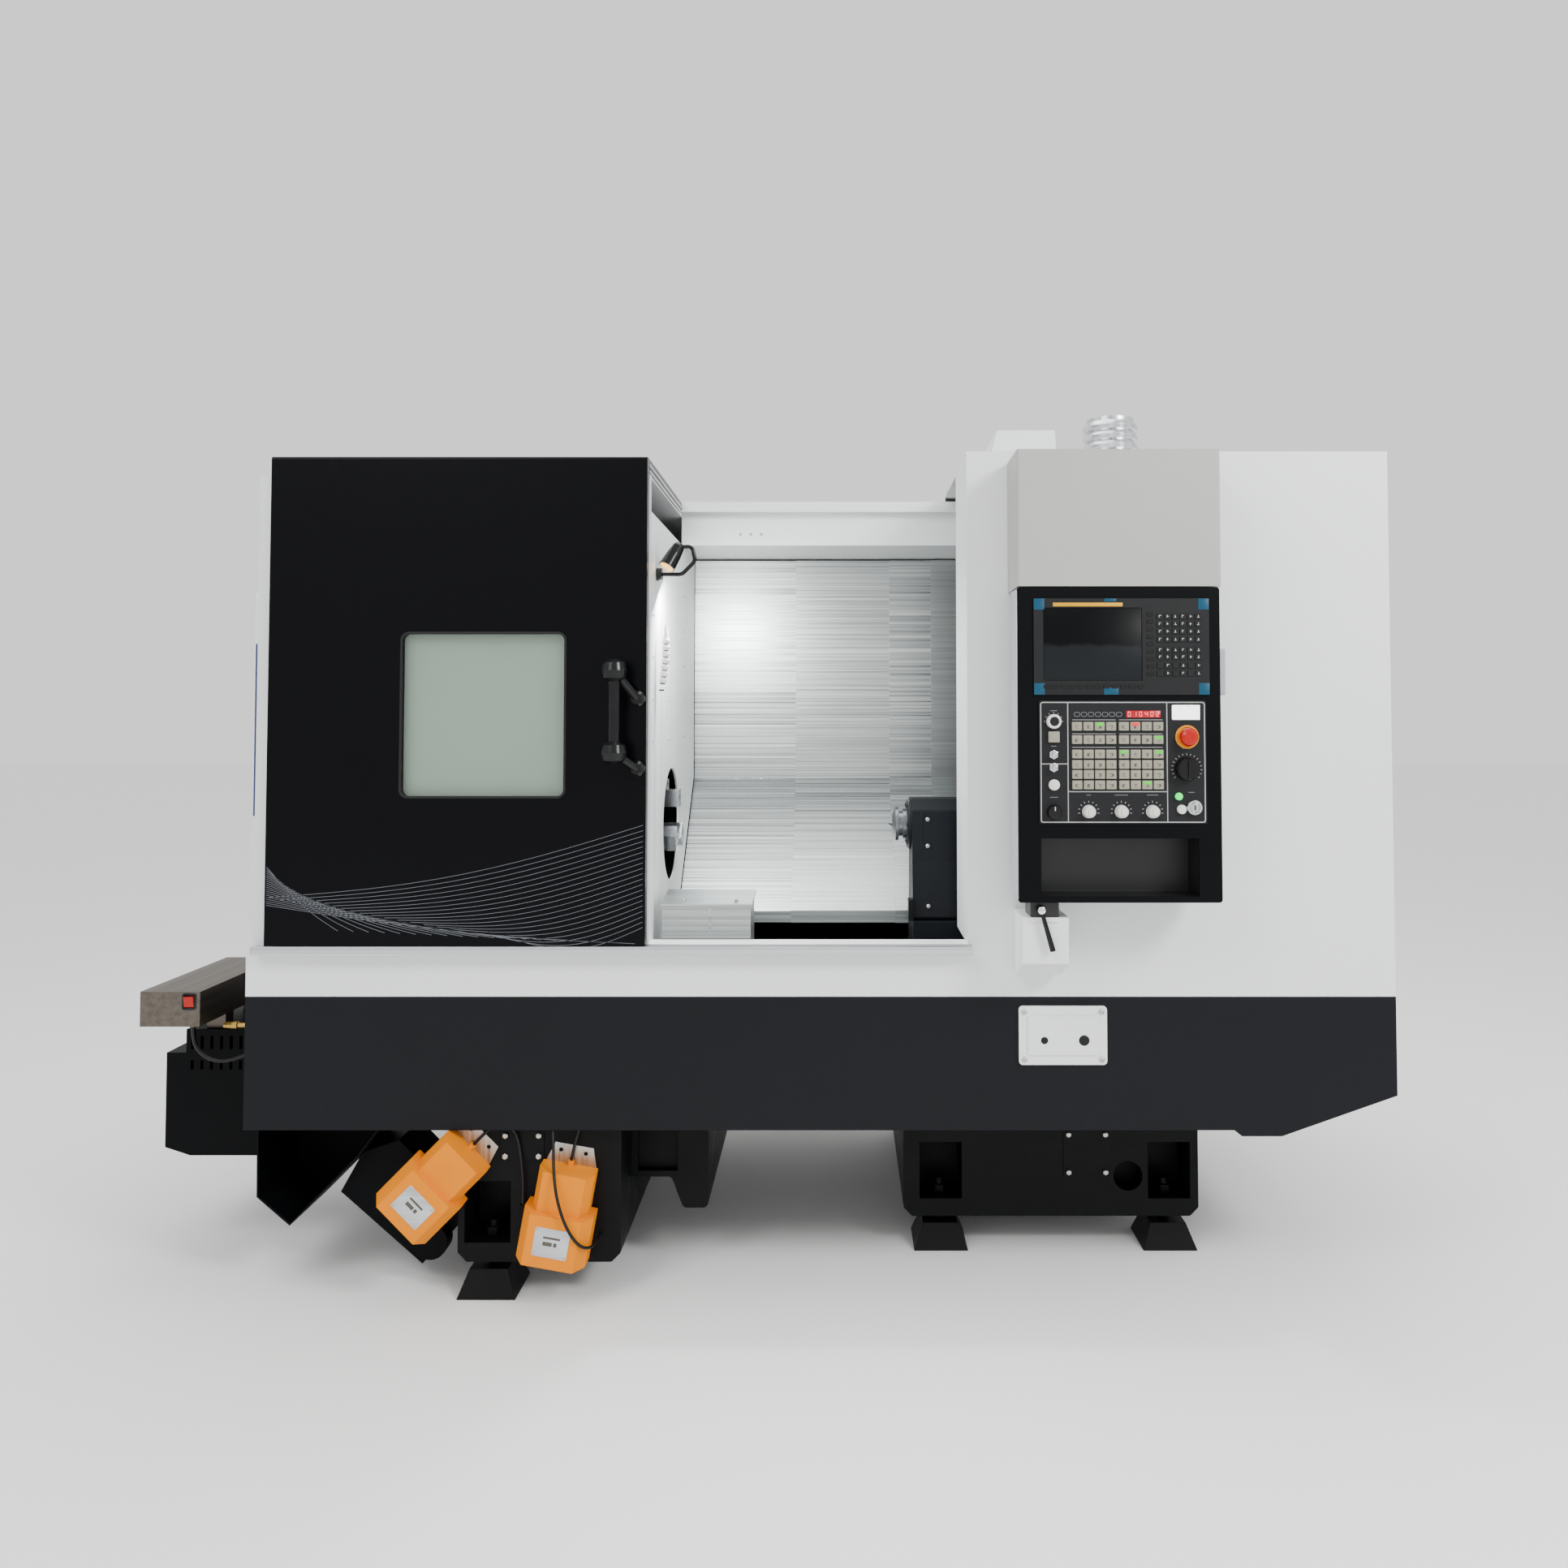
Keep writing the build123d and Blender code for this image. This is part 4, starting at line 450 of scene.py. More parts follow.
# Door handle, clamp lever and work lamp: moulded in glass-filled nylon, which is black with a soft sheen
# and a fine grain from the mould.
filled_nylon = moulded("glass_filled_nylon", "040506", "08090b", 0.24, 1.2)
dress(filled_nylon, "door_handle", "clamp_lever", "work_lamp")


# Work area lining: stainless sheet brushed along the machine. Real grit lines are half a millimetre wide;
# they are drawn 7 mm wide so that they show. The left wall's round recess behind the chuck is painted
# black, as painted shade deep in the recess.
brushed_stainless = drawn_metal("brushed_stainless_sheet", "d2d6d5", "8e9494", 0.36, "X", 7.0)
dress(brushed_stainless, "chip_tray", "way_cover_1", "way_cover_2", "way_cover_3", "tool_setter_box")
WALL_FACE = -248.0
RECESS_EDGE = -253.0
# Painted shade: the wall's material turns black behind X = -253 mm, inside the chuck's recess.
wall_stainless = drawn_metal("bead_blasted_stainless_painted_recess_shade", "fcfdfd", "f2f4f4", 0.62, "Z", 9.0,
                             dark_part=[("X", "LESS_THAN", RECESS_EDGE)])
dress(wall_stainless, "inner_wall")
wall_screws = [(WALL_FACE, y, z) for y in (-690, -420, -113) for z in (1326, 1428, 1530, 1632, 1734)]
PAN_HEAD = [(0, 0), (0.4, 1), (1.6, 1.6), (1.8, 0.6)]
raised("wall_screws", "machine", zinc, wall_screws, (9, 9), 4.5, PAN_HEAD, RIGHT_FACING, sides=12)
header_screws = [(x, HEADER_FACE, 1915) for x in (-80, -50, -20)]
raised("header_screws", "machine", zinc, header_screws, (9, 9), 4.5, PAN_HEAD, FRONT_FACING, sides=12)


# Tool probe's cover: a lower plate that laps over its front, and two zinc-plated studs on its lid. The plate
# is stainless sheet too, but duller and greyer.
low_plate = drawn_metal("dulled_stainless_plate", "a9adab", "858a88", 0.4, "X", 5.0)
raised("setter_plate", "machine", low_plate, [(-118, -668, 831)], (213, 50), 2,
       [(0, -0.5), (0, 1.6), (0.8, 2.4)], FRONT_FACING)
UP_FACING = ((1, 0, 0), (0, 1, 0), (0, 0, 1))
STUD = [(0, -2), (0, 7), (1.5, 8.5)]
raised("setter_studs", "machine", zinc, [(-175, -650, 929), (-47, -650, 929)], (9, 9), 4.5, STUD, UP_FACING,
       sides=12)


# Saddle: sprayed grey iron, with the front plate of the stainless cover screwed to its left side. One
# material holds both finishes and changes from bare steel to paint at the cover's edge.
cover_and_iron, tree, shader, place = finish("stainless_cover_on_grey_iron", {})
COVER_EDGE = 840 * MM
along = add(tree, "ShaderNodeSeparateXYZ", {0: place}).outputs["X"]
iron = add(tree, "ShaderNodeMath", {0: along, 1: COVER_EDGE}, operation="GREATER_THAN").outputs[0]
line_scale = (1 / (2500 * MM), 1 / (7 * MM), 1 / (7 * MM))
stretched = add(tree, "ShaderNodeMapping", {"Vector": place, "Scale": line_scale}).outputs[0]
lines = add(tree, "ShaderNodeTexNoise", {"Vector": stretched, "Scale": 1.0, "Detail": 6.0}).outputs[0]
lumps = add(tree, "ShaderNodeTexNoise", {"Vector": place, "Scale": 1 / (60 * MM), "Detail": 5.0}).outputs[0]
steel_tone = add(tree, "ShaderNodeMix", {0: lines, 6: hex_colour("8e9494"), 7: hex_colour("d2d6d5")},
                 data_type="RGBA").outputs[2]
iron_tone = add(tree, "ShaderNodeMix", {0: lumps, 6: hex_colour("0a0b0d"), 7: hex_colour("131417")},
                data_type="RGBA").outputs[2]
tone = add(tree, "ShaderNodeMix", {0: iron, 6: steel_tone, 7: iron_tone}, data_type="RGBA").outputs[2]
bare = add(tree, "ShaderNodeMath", {0: 1.0, 1: iron}, operation="SUBTRACT").outputs[0]
gloss = add(tree, "ShaderNodeMapRange", {"Value": iron, "To Min": 0.34, "To Max": 0.5}).outputs[0]
bump = add(tree, "ShaderNodeBump", {"Height": lines, "Strength": 0.15, "Distance": 0.3 * MM}).outputs[0]
tree.links.new(tone, shader.inputs["Base Color"])
tree.links.new(bare, shader.inputs["Metallic"])
tree.links.new(gloss, shader.inputs["Roughness"])
tree.links.new(bump, shader.inputs["Normal"])
dress(cover_and_iron, "saddle")


# Work lamp's lens: frosted plastic, clipped into the mouth of the lamp's head. The frosting spreads the
# light, so that the whole lens glows a warm yellow.
def lit(name, colour, shade, strength):
    """A lamp's plastic: two close tones in 6 mm clouds that also glow."""
    material, tree, shader, place = finish(name, {"Roughness": 0.35, "Emission Strength": strength})
    cloud = add(tree, "ShaderNodeTexNoise", {"Vector": place, "Scale": 1 / (6 * MM), "Detail": 2.0})
    tone = add(tree, "ShaderNodeMix", {0: cloud.outputs[0], 6: hex_colour(colour), 7: hex_colour(shade)},
               data_type="RGBA")
    tree.links.new(tone.outputs[2], shader.inputs["Base Color"])
    tree.links.new(tone.outputs[2], shader.inputs["Emission Color"])
    return material


warm_lens = lit("frosted_lamp_lens", "ffd890", "ffb850", 1.6)
LAMP_POINTS = np.array((-0.42, -0.35, -0.84))
lamp_aim = LAMP_POINTS / np.linalg.norm(LAMP_POINTS)
lamp_right = np.cross((0, 0, 1), lamp_aim)
lamp_right /= np.linalg.norm(lamp_right)
lamp_facing = (lamp_right, np.cross(lamp_aim, lamp_right), lamp_aim)
FITTINGS_Y = -640.0
LAMP_HEAD = (-194.0, FITTINGS_Y, 1806.0)
LAMP_HEAD_LENGTH = 62.0
lamp_mouth = np.array(LAMP_HEAD) + LAMP_HEAD_LENGTH * lamp_aim
raised("lamp_lens", "machine", warm_lens, [lamp_mouth], (36, 36), 18,
       [(0, -2), (0, 0.8), (2.5, 2.4), (8, 4)], lamp_facing, sides=32)

# Coolant hose: acetal beads that snap together, off-white and slightly waxy. A dark ring at each joint
# is painted shade for the groove between two beads.
# The rings follow the hose, which rises 130 mm and leans 12 mm away from the wall in a parabola.
acetal = moulded("acetal_hose_bead", "e2e3e0", "d2d4d1", 0.35, 2.0)
dress(acetal, "coolant_hose")
joint = (np.arange(8) + 0.5) / 8
joints = np.stack([-236 + 12 * joint * (2 - joint), 0 * joint + FITTINGS_Y, 1442 + 130 * joint], axis=-1)
raised("hose_groove_shade_rings", "machine", filled_nylon, joints, (13.6, 13.6), 6.8,
       [(0.6, -1.8), (0, 0), (0.6, 1.8)], UP_FACING)


# Chuck, jaws, spindle, quill and turret: hardened steel with fine turned rings round the spindle's axis. The
# jaws and the spindle are ground bright, and the others are left darker.
SPINDLE_Y = -355.0
SPINDLE_Z = 1095.0
SPINDLE_AXIS = (0.0, SPINDLE_Y * MM, SPINDLE_Z * MM)


def turned_steel(name, colour, shade, roughness, axis_place):
    """Turned steel: rings 4 mm apart round an axis along X, wider than real feed marks, and oil clouds."""
    material, tree, shader, place = finish(name, {"Metallic": 1.0})
    centred = add(tree, "ShaderNodeMapping", {"Vector": place, "Location": [-value for value in axis_place]})
    ring_scale = math.pi / 10 / (4 * MM)
    rings = add(tree, "ShaderNodeTexWave", {"Vector": centred.outputs[0], "Scale": ring_scale,
                                            "Distortion": 0.6}, wave_type="RINGS", rings_direction="X")
    cloud = add(tree, "ShaderNodeTexNoise", {"Vector": place, "Scale": 1 / (30 * MM), "Detail": 4.0})
    tone = add(tree, "ShaderNodeMix", {0: cloud.outputs[0], 6: hex_colour(colour), 7: hex_colour(shade)},
               data_type="RGBA")
    gloss = add(tree, "ShaderNodeMapRange", {"Value": cloud.outputs[0], "To Min": roughness - 0.08,
                                             "To Max": roughness + 0.12})
    edge = add(tree, "ShaderNodeBevel", {"Radius": 1.0 * MM}, samples=4)
    bump = add(tree, "ShaderNodeBump", {"Height": rings.outputs[1], "Strength": 0.1, "Distance": 0.2 * MM,
                                        "Normal": edge.outputs[0]})
    tree.links.new(tone.outputs[2], shader.inputs["Base Color"])
    tree.links.new(gloss.outputs[0], shader.inputs["Roughness"])
    tree.links.new(bump.outputs[0], shader.inputs["Normal"])
    return material


ground_steel = turned_steel("ground_chuck_steel", "c2c5c8", "8f9397", 0.24, SPINDLE_AXIS)
dress(ground_steel, "spindle", "jaw_1", "jaw_2", "jaw_3")
dark_steel = turned_steel("hardened_dark_steel", "8d9094", "5d6064", 0.3, SPINDLE_AXIS)
dress(dark_steel, "quill", "turret_disc", "chuck_body")

# Jaw screws: socket-head screws in blackened steel, sunk in the two counterbores of each jaw. The jaws stand
# a third of a turn apart.
socket_black = moulded("black_socket_screw", "08090a", "101113", 0.35, 1.0)
SOCKET_HEAD = [(0, 0), (0, 7), (0.8, 7.8), (3.4, 7.8), (3.6, 4)]
for jaw in range(3):
    angle = math.radians(120 * jaw)
    outward = np.array((0, -math.sin(angle), math.cos(angle)))
    seats = [np.array((x, SPINDLE_Y, SPINDLE_Z)) + reach * outward for x, reach in ((-245, 70), (-272, 106))]
    body = f"jaw_{jaw + 1}"
    raised(body + "_screws", body, socket_black, seats, (13, 13), 6.5, SOCKET_HEAD, RIGHT_FACING)


# Tailstock: cast iron in a dark blue-grey machine enamel. Six socket screws hold the cover ring of its
# quill, and domed screws and a dark seam show on its front.
blue_casting = painted_casting("blue_grey_enamel_casting", "06090d", "0c1117", 0.2)
dress(blue_casting, "tailstock_body")
RING_FACE = 389.0
RING_RADIUS = 56.0
angles = np.arange(6) * np.pi / 3
ring_screws = np.stack([RING_FACE + 0 * angles, SPINDLE_Y + RING_RADIUS * np.cos(angles),
                        SPINDLE_Z + RING_RADIUS * np.sin(angles)], axis=-1)
raised("tailstock_ring_screws", "tailstock", socket_black, ring_screws, (9, 9), 4.5,
       [(0, -1), (0, 2), (0.5, 2.6), (2.4, 2.6), (2.5, 1)], LEFT_FACING, sides=12)
front_screws = [(441, -429, 1112), (441, -430, 1042), (441, -446, 886)]
raised("tailstock_front_screws", "tailstock", zinc, front_screws, (12, 12), 6, DOME, FRONT_FACING)
raised("tailstock_seam", "tailstock", socket_black, [(424, -429, 1068)], (3, 128), 1,
       [(0, -1), (0, 1.2), (0.6, 1.8)], FRONT_FACING)


# Pendant: a fixed sheet head in warm grey powder, a white foot with a black clamp block on it, and the
# swivelling box in grey powder, painted black inside its pocket as the pocket's shade. Its front plate is
# black, with a bright strip at the left painted as the highlight on its rounded edge.
warm_powder = sprayed("warm_grey_powder_coat", "a2a29e", "9c9c98", 0.45, 4.0)
dress(warm_powder, "pendant_head")
foot_powder = sprayed("white_foot_with_black_block", "e4e6e6", "dddfe0", 0.4, 4.0,
                      dark_part=[("Z", "GREATER_THAN", 929.5)])
dress(foot_powder, "pendant_foot")
# Painted shade: inside the pocket the housing's grey turns black.
housing_powder = sprayed("grey_housing_with_painted_pocket_shade", "a9b0b5", "9da5ab", 0.45, 4.0, dark_part=[
    ("X", "GREATER_THAN", 655), ("X", "LESS_THAN", 1023), ("Z", "LESS_THAN", 1116), ("Y", "LESS_THAN", -800)])
dress(housing_powder, "pendant_housing")
black_powder = sprayed("black_textured_powder_coat", "050608", "08090b", 0.5, 3.0, gloss_level=0.07)
dress(black_powder, "pendant_front", "pump_cover", "chip_chute")
# Painted highlight: a bright metal strip along the front plate's left edge stands for the light on its
# rounded fold.
edge_highlight_metal = drawn_metal("painted_edge_highlight", "e8eaec", "d0d3d6", 0.4, "Z", 8.0)
raised("pendant_edge_highlight", "pendant", edge_highlight_metal, [(609, -892, 1322.5)], (5, 698), 1,
       [(0, -0.5), (0, 0.6), (0.6, 1)], LEFT_FACING)
chrome = drawn_metal("bright_chrome", "f2f3f4", "d5d7da", 0.14, "Z", 20.0)
raised("clamp_hub", "clamp_lever", chrome, [(662, -892.3, 948)], (17, 17), 8.5,
       [(0, -4), (0, 0.3), (1.5, 1.4), (5, 1.6)], FRONT_FACING, sides=24)


# Screen unit: moulded ABS bezel round a matt screen that still wears its clear shipping film. Blue tape
# tabs hold the film, and its lower part has come loose and scatters more light.
black_abs = moulded("black_abs_bezel", "090a0c", "0d0e10", 0.45, 1.0)
dress(black_abs, "lcd_unit")
screen_film, tree, shader, place = finish("matt_screen_under_film", {"IOR": 1.45, "Specular IOR Level": 0.12})
height = add(tree, "ShaderNodeSeparateXYZ", {0: place}).outputs["Z"]
wrinkle = add(tree, "ShaderNodeTexNoise", {"Vector": place, "Scale": 1 / (60 * MM), "Detail": 4.0}).outputs[0]
edge = add(tree, "ShaderNodeMath", {0: wrinkle, 1: 0.03, 2: height}, operation="MULTIPLY_ADD").outputs[0]
loose = add(tree, "ShaderNodeMapRange", {"Value": edge, "From Min": 1.558, "From Max": 1.566, "To Min": 1.0,
                                         "To Max": 0.0}).outputs[0]
tone = add(tree, "ShaderNodeMix", {0: loose, 6: hex_colour("040506"), 7: hex_colour("181b1d")},
           data_type="RGBA")
gloss = add(tree, "ShaderNodeMapRange", {"Value": wrinkle, "To Min": 0.3, "To Max": 0.5})
tree.links.new(tone.outputs[2], shader.inputs["Base Color"])
tree.links.new(gloss.outputs[0], shader.inputs["Roughness"])
PANEL_Y = -898.0
raised("screen", "pendant", screen_film, [(780, PANEL_Y + 2, 1549)], (223, 165), 2,
       [(0, -0.5), (0, 0.4), (0.6, 0.8)], FRONT_FACING)
FILM = [(0, -0.2), (0, 0.5), (0.4, 0.7)]
film_tape = moulded("blue_film_tape", "00384f", "054560", 0.4, 4.0)
tabs = [(658.5, 1640), (1031.5, 1640), (658.5, 1447.5), (1031.5, 1447.5), (820, 1649), (821, 1442.5)]
tab_places = [(x, PANEL_Y, z) for x, z in tabs]
tab_sizes = [(24, 25), (24, 25), (24, 26), (24, 26), (27, 7), (33, 16)]
raised("film_tabs", "pendant", film_tape, tab_places, tab_sizes, 0.8, FILM, FRONT_FACING)
amber_film = moulded("amber_label_film", "cf9d06", "bd8400", 0.4, 8.0)
raised("title_strip", "pendant", amber_film, [(769, PANEL_Y, 1639)], (158, 8.5), 1, FILM, FRONT_FACING)

# Soft keys beside and below the screen, and the keypad: dark rubber caps, the keypad's printed with small
# generic strokes in white.
soft_key = moulded("dark_rubber_key", "040506", "08090b", 0.4, 1.0)
soft_places = [(910, PANEL_Y, 1617 - 17 * row) for row in range(9)]
soft_places += [(675 + 19.3 * column, PANEL_Y, 1453) for column in range(12)]
CAP = [(0, 0), (0, 1.2), (0.8, 1.9)]
raised("soft_keys", "pendant", soft_key, soft_places, (13.8, 8.8), 1.2, CAP, FRONT_FACING)
KEYPAD_TOP = PANEL_Y - 2.0
columns = 932 + 17.4 * np.arange(6)
keypad = np.array([(x, KEYPAD_TOP, z) for z in (1612, 1595, 1578, 1560, 1536, 1520) for x in columns])
keypad = np.concatenate([keypad, [(x, KEYPAD_TOP, z) for x in columns[1::2] for z in (1501, 1483)]])
white_ink = moulded("white_key_ink", "d4d6d6", "bfc1c1", 0.5, 1.0)
order = np.arange(len(keypad))
PRINT = [(0, -0.1), (0, 0.15), (0.2, 0.25)]
upright = keypad + np.stack([-1.8 + order % 3, 0 * order, 0.3 * (order % 2)], axis=-1)
level = keypad + np.stack([0.6 - 0.4 * (order % 4), 0 * order, 2.1 - 2.1 * (order % 3)], axis=-1)
raised("keypad_uprights", "pendant", white_ink, upright, (1.2, 5.4), 0.3, PRINT, FRONT_FACING, sides=4)
raised("keypad_levels", "pendant", white_ink, level, (4.6, 1.2), 0.3, PRINT, FRONT_FACING, sides=4)


# Machine panel: a polycarbonate overlay, glued on and matt all over, with light grey frame lines printed on
# it. Fainter grey bars and a row of small rings are printed beside the controls.
matt_overlay = moulded("matt_polycarbonate_overlay", "08090c", "0c0d10", 0.5, 0.8)
dress(matt_overlay, "operator_panel")
line_ink = moulded("light_grey_line_ink", "a9aaa8", "979896", 0.5, 1.0)
LINE_RING = [(-1.1, 0), (-1.1, 0.3), (1.1, 0.3), (1.1, 0)]
raised("panel_outline", "pendant", line_ink, [(846, PANEL_Y, 1282)], (370, 270), 5, LINE_RING,
       FRONT_FACING, sides=32, ring=True)
lines = [(722, 1282, 2.2, 268), (946, 1282, 2.2, 268), (691, 1278, 60, 2.2), (834, 1215.6, 222, 2.2)]
lines += [(x, z, 98, 1.3) for x in (781, 887) for z in (1377.5, 1346, 1315.5)]
raised("panel_lines", "pendant", line_ink, [(x, PANEL_Y, z) for x, z, wide, high in lines],
       [(wide, high) for x, z, wide, high in lines], 0.4, PRINT, FRONT_FACING, sides=4)
faint_ink = moulded("faint_grey_ink", "6f7174", "5f6164", 0.5, 1.0)
captions = [(690, 1398, 16), (690, 1318, 12), (690, 1203, 18), (768, 1208, 10), (841.5, 1208, 30),
            (912, 1208, 26), (990, 1313, 20), (1000, 1214, 14)]
raised("panel_captions", "pendant", faint_ink, [(x, PANEL_Y, z) for x, z, wide in captions],
       [(wide, 1.8) for x, z, wide in captions], 0.4, PRINT, FRONT_FACING, sides=4)
LAMP_RING = [(-0.6, 0), (-0.6, 0.6), (0.6, 0.6), (0.6, 0)]
lamp_places = [(743 + 15.8 * lamp, PANEL_Y, 1390) for lamp in range(7)]
raised("panel_lamps", "pendant", faint_ink, lamp_places, (13, 9.5), 4.7, LAMP_RING, FRONT_FACING, sides=20,
       ring=True)


# Panel keys: square cream caps with grey pictograms of plain strokes, each with a lamp window along its
# top. Five of the windows are lit green and one red.
cream_abs = moulded("cream_abs_key", "8f8c7d", "838073", 0.4, 1.5)
key_columns = (742.2, 767.9, 793.5, 819.2, 848.0, 873.9, 899.8, 925.6)
key_rows = (1363.0, 1333.0, 1300.5, 1277.0, 1254.5, 1231.0)
keys = np.array([(x, PANEL_Y, z) for z in key_rows for x in key_columns])
KEY_CAP = [(0, 0), (0, 3.6), (0.5, 4.4), (1.6, 4.9)]
raised("panel_keys", "pendant", cream_abs, keys, (22.8, 19.8), 1.5, KEY_CAP, FRONT_FACING)
raised("square_key", "pendant", cream_abs, [(690, PANEL_Y, 1339)], (24.8, 24.8), 1.5,
       [(0, 0), (0, 6.6), (0.5, 7.4), (1.6, 7.9)], FRONT_FACING)
mark_ink = moulded("grey_key_ink", "56534a", "47453e", 0.5, 1.0)
order = np.arange(len(keys))
strokes = {
    "top": (0 * order, 1.5 + 0 * order, 6.0 + order % 4, 1.5 + 0 * order),
    "middle": (-3.0 + 2 * (order % 4), -1.5 + 0 * order, 1.6 + 1.8 * (order % 3), 4.5 + 0 * order),
    "foot": (1.0 - order % 3, -4.5 + 0 * order, 4.0 + 1.5 * (order % 3), 1.4 + 0 * order),
}
for stroke, (aside, above, wide, high) in strokes.items():
    marks = keys + np.stack([aside, 0 * order - KEY_CAP[-1][1], above], axis=-1)
    raised("key_marks_" + stroke, "pendant", mark_ink, marks, np.stack([wide, high], axis=-1), 0.3, PRINT,
           FRONT_FACING, sides=4)
green_window = lit("lit_green_window", "3fc516", "2aa808", 0.7)
red_window = lit("lit_red_window", "e02e1c", "c81e10", 0.6)
WINDOW_LIFT = [(0, 4.6), (0, 5.2), (0.4, 5.4)]
window_places = keys + np.array((0, 0, 4.6))
for name, window, lit_keys in (("green_windows", green_window, [2, 15, 20, 23, 46]),
                               ("red_window", red_window, [5])):
    raised(name, "pendant", window, window_places[lit_keys], (17, 7), 1, WINDOW_LIFT, FRONT_FACING)


# Displays: a red filter over a six-figure counter of seven segments each, and a white display beside it. Both
# are lit from behind and glow on the black panel.
red_filter = lit("red_display_filter", "a80012", "80000c", 0.5)
raised("counter_filter", "pendant", red_filter, [(893.5, PANEL_Y + 1.5, 1390.5)], (78, 16), 1,
       [(0, -0.5), (0, 0.5), (0.4, 0.8)], FRONT_FACING)
SEGMENTS = {"a": (0, 5, 5, 1.4), "b": (2.7, 2.5, 1.4, 4), "c": (2.7, -2.5, 1.4, 4), "d": (0, -5, 5, 1.4),
            "e": (-2.7, -2.5, 1.4, 4), "f": (-2.7, 2.5, 1.4, 4), "g": (0, 0, 5, 1.4)}
FIGURES = ("abcdef", "bc", "abcdef", "bcfg", "abcdef", "abdeg")
bars = np.array([(861.5 + 12.8 * place + SEGMENTS[name][0], 1390.5 + SEGMENTS[name][1], *SEGMENTS[name][2:])
                 for place, names in enumerate(FIGURES) for name in names])
counter_led = lit("red_counter_segment", "ff7a78", "ff5a5c", 2.0)
bar_places = np.stack([bars[:, 0], 0 * bars[:, 0] + PANEL_Y + 0.8, bars[:, 1]], axis=-1)
raised("counter_figures", "pendant", counter_led, bar_places, bars[:, 2:], 0.4, PRINT, FRONT_FACING, sides=4)
white_display = lit("white_lit_display", "ffffff", "f4f6f8", 1.8)
raised("lit_display", "pendant", white_display, [(989, PANEL_Y, 1394.5)], (62.6, 33.6), 2,
       [(0, 0), (0, 2.2), (0.6, 2.7)], FRONT_FACING)


# Emergency stop and knobs: red ABS mushroom in a yellow collar, a black override knob and three light
# grey selectors with printed tick marks round them, and a column of fixed buttons and toggles.
red_abs = moulded("red_abs", "b41206", "9c0c04", 0.25, 1.5)
dress(red_abs, "e_stop", "rocker_switch")
yellow_abs = moulded("yellow_abs_collar", "e09400", "cf8000", 0.35, 2.0)
COLLAR = [(0, 0), (0, 2.4), (1, 3.4), (4, 3.4), (4.6, 1.2), (14.2, 1.2), (14.2, 0)]
raised("stop_collar", "pendant", yellow_abs, [(991, PANEL_Y, 1339)], (53, 53), 26.5, COLLAR, FRONT_FACING,
       sides=48, ring=True)
knob_abs = moulded("black_knob_abs", "050606", "0a0b0c", 0.3, 1.0)
dress(knob_abs, "override_knob")
grey_abs = moulded("light_grey_abs", "dcdcd6", "cdcdc7", 0.35, 1.0)
dress(grey_abs, "selector_a", "selector_b", "selector_c")


def ticks(name, centre, inner, outer, sweep, count):
    """Short radial strokes round a knob, spread evenly over a sweep in degrees about the upright."""
    turn = np.radians(np.linspace(-sweep / 2, sweep / 2, count))[:, None]
    reach = np.array((inner, (inner + outer) / 2, outer))
    paths = np.stack([centre[0] + reach * np.sin(turn), PANEL_Y + 0 * reach * turn,
                      centre[1] + reach * np.cos(turn)], axis=-1)
    ribbons(name, "pendant", line_ink, paths, 1.2, 0.25, OUT)


ticks("override_ticks", (990, 1267), 31, 35, 250, 17)
for letter, x in zip("abc", (768, 841.5, 912)):
    ticks(f"selector_{letter}_ticks", (x, 1171), 20, 24, 200, 9)
ticks("left_knob_ticks", (690, 1374), 18.5, 21.5, 180, 7)
ROUND_KNOB = [(0, 0), (0, 8), (0.8, 11.5), (2.4, 12.6), (5.5, 12.6), (6.2, 11.4)]
raised("left_knob", "pendant", grey_abs, [(690, PANEL_Y, 1374)], (33, 33), 16.5, ROUND_KNOB, FRONT_FACING,
       sides=40)
BUTTON = [(0, 0), (0, 5.5), (0.8, 7.2), (3, 8.2)]
raised("white_buttons", "pendant", grey_abs, [(690, PANEL_Y, 1231), (977, PANEL_Y, 1176)],
       [(24.8, 24.8), (20.8, 20.8)], 12.4, BUTTON, FRONT_FACING, sides=32)
BLACK_KNOB = [(0, 0), (0.6, 12), (2, 14.4), (6, 15)]
raised("black_knob", "pendant", knob_abs, [(690, PANEL_Y, 1170)], (33, 33), 16.5, BLACK_KNOB, FRONT_FACING,
       sides=40)
raised("black_knob_pointer", "pendant", white_ink, [(690, PANEL_Y - BLACK_KNOB[-1][1], 1178)], (2, 9), 0.5,
       PRINT, FRONT_FACING)
toggles = [(690, PANEL_Y, 1299), (690, PANEL_Y, 1270)]
raised("toggle_nuts", "pendant", chrome, toggles, (22, 22), 11, [(0, 0), (0, 3), (1, 4)], FRONT_FACING,
       sides=6)
LEVER = [(0, 3), (0, 4), (2.4, 14), (1.8, 16), (3.5, 17.6)]
raised("toggle_levers", "pendant", chrome, toggles, (15, 15), 7.5, LEVER, FRONT_FACING, sides=24)
raised("key_switch", "pendant", chrome, [(1006, PANEL_Y, 1180)], (35, 35), 17.5,
       [(0, 0), (0, 5), (1.5, 7.4), (6, 7.6), (6.6, 6.4), (8, 8)], FRONT_FACING, sides=40)
raised("key_slot", "pendant", knob_abs, [(1006, PANEL_Y - 8, 1180)], (3, 11), 0.6, PRINT, FRONT_FACING)
green_lamp = lit("lit_green_lamp", "14e060", "08c84c", 1.4)
raised("green_lamp", "pendant", green_lamp, [(971, PANEL_Y, 1205)], (17, 17), 8.5,
       [(0, 0), (0, 5), (1, 7.4), (4, 8.6)], FRONT_FACING, sides=32)


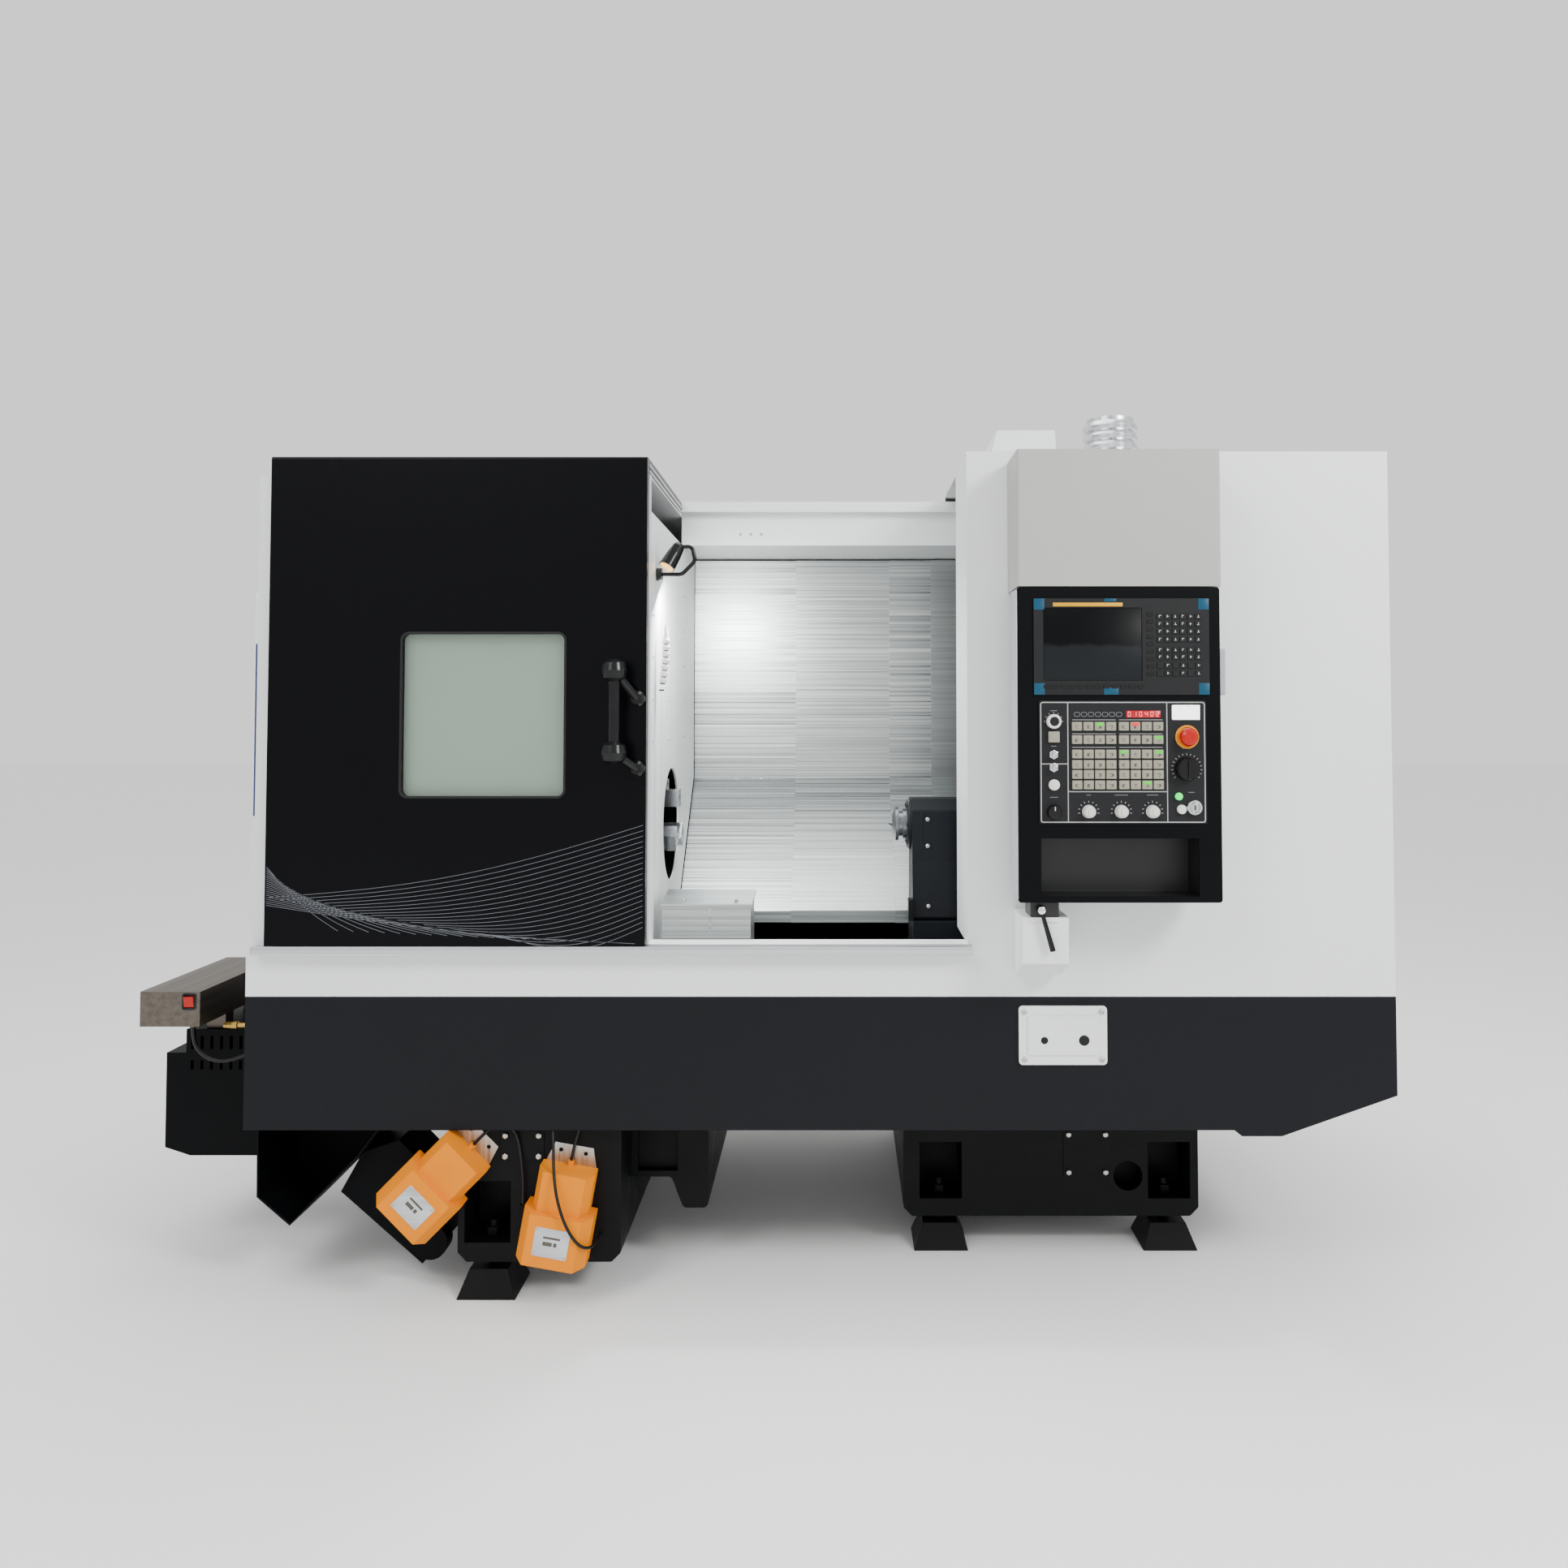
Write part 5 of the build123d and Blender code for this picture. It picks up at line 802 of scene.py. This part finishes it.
# Roof fittings: a duct of thin aluminium foil, bright between its ribs, and a beacon with a smooth, glossy
# dome of moulded red polycarbonate.
duct_foil = drawn_metal("aluminium_foil_duct", "dfe1e3", "bfc2c5", 0.3, "Z", 12.0)
dress(duct_foil, "extract_duct")
red_dome = moulded("red_polycarbonate_dome", "a80c06", "860804", 0.18, 3.0)
dress(red_dome, "signal_lamp")

# Oil skimmer: a box of hot-rolled stainless sheet, which is brownish and only half bright. Its switch snaps
# into a bezel of black nylon.
dull_stainless = drawn_metal("dull_stainless_sheet", "6e675f", "58524b", 0.45, "Y", 12.0)
dress(dull_stainless, "oil_skimmer")
raised("rocker_bezel", "machine", filled_nylon, [(-1394, -635, 683)], (26.6, 32.6), 1.5,
       [(-4, 0), (-4, 1.4), (-3, 2), (0, 2), (0, 0)], FRONT_FACING, ring=True)

# Brass cocks: two drain cocks under the sloping tank and the fitting of the skimmer's oil pipe. All are
# machined from brass bar, which coolant has dulled.
brass = drawn_metal("machined_brass", "c9a85a", "9c7c3a", 0.32, "X", 3.0)
dress(brass, "brass_cocks")

# Foot switches: cast covers in orange-yellow enamel on zinc-plated plates. Each cover has a riveted
# aluminium plate with a plain pictogram of three bars.
yellow_enamel = painted_casting("orange_yellow_enamel_casting", "e68600", "da7a00", 0.06)
dress(yellow_enamel, "left_pedal_guard", "right_pedal_guard")
dress(black_oxide, "left_treadle", "right_treadle")
dress(zinc, "pedal_plates")
plate_aluminium = drawn_metal("anodised_aluminium_plate", "d2d4d6", "b9bcbf", 0.38, "X", 5.0)
SWITCH_COVER_FACE = -800.0
PLATE_BELOW_STEP = 59.0
for side, origin, tilt in (("left", (-738, 293), -45), ("right", (-450, 227), -10)):
    angle = math.radians(tilt)
    across = np.array((math.cos(angle), 0, math.sin(angle)))
    upward = np.array((-math.sin(angle), 0, math.cos(angle)))
    facing = (across, upward, OUT)
    middle = np.array((origin[0], SWITCH_COVER_FACE, origin[1])) - PLATE_BELOW_STEP * upward
    raised(side + "_pedal_plate", "machine", plate_aluminium, [middle], (82, 66), 4,
           [(0, -0.2), (0, 0.6), (0.4, 0.9)], facing)
    rivets = [middle + x * across + z * upward for x in (-36, 36) for z in (-28, 28)]
    raised(side + "_pedal_rivets", "machine", zinc, rivets, (6, 6), 3,
           [(0, 0.6), (0.3, 1.6), (1.4, 2.2)], facing)
    face = middle - np.array((0, 0.9, 0))
    pictogram = [face + x * across + z * upward for x, z in ((0, 12), (-8, -2), (10, -2))]
    raised(side + "_pedal_pictogram", "machine", mark_ink, pictogram, [(40, 5), (22, 9), (8, 9)], 1, PRINT,
           facing)

# Electrical cabinet: a box of folded sheet on the back of the machine, with a hinged door. Both have a light
# grey powder coat, a little darker than the guards'.
cabinet_powder = sprayed("cabinet_grey_powder_coat", "cfd1d0", "c5c7c6", 0.42, 4.0)
dress(cabinet_powder, "electrical_cabinet", "cabinet_door")

# Studio: a pale floor, a white room, three large soft lamps and the work lamp's own small light. All four
# lights are aimed at one point in the work area.
floor_mesh = bpy.data.meshes.new("floor")
FLOOR_HALF = 30.0
floor_corners = [(FLOOR_HALF * x, FLOOR_HALF * y, 0) for x, y in ((-1, -1), (1, -1), (1, 1), (-1, 1))]
floor_mesh.from_pydata(floor_corners, [], [(0, 1, 2, 3)])
floor = bpy.data.objects.new("floor", floor_mesh)
bpy.context.scene.collection.objects.link(floor)
floor_paint = sprayed("pale_studio_floor", "fafaf9", "f7f7f6", 0.8, 20.0)
floor_mesh.materials.append(floor_paint)
floor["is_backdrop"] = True
room = bpy.data.worlds.new("white_room")
room.use_nodes = True
background = room.node_tree.nodes["Background"]
background.inputs["Color"].default_value = (1.0, 1.0, 1.0, 1.0)
background.inputs["Strength"].default_value = 1.15
bpy.context.scene.world = room
LIT_POINT = np.array((0.0, -0.2, 1.0))
LAMPS = (
    ("key", (3.2, -3.4, 3.6), 1.2, 170.0),
    ("fill", (-2.2, -3.8, 4.4), 2.0, 110.0),
    ("top", (0.2, 0.2, 5.0), 3.0, 125.0),
    ("work_light", (-0.17, -0.60, 1.72), 0.06, 10.0),
)
for name, place, width, power in LAMPS:
    light = bpy.data.lights.new(name, "AREA")
    light.size = width
    light.energy = power
    lamp = bpy.data.objects.new(name, light)
    lamp.location = place
    aim = LIT_POINT - np.array(place)
    tilt = math.atan2(math.hypot(aim[0], aim[1]), -aim[2])
    lamp.rotation_euler = (tilt, 0.0, math.atan2(-aim[0], aim[1]))
    bpy.context.scene.collection.objects.link(lamp)

low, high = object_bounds()
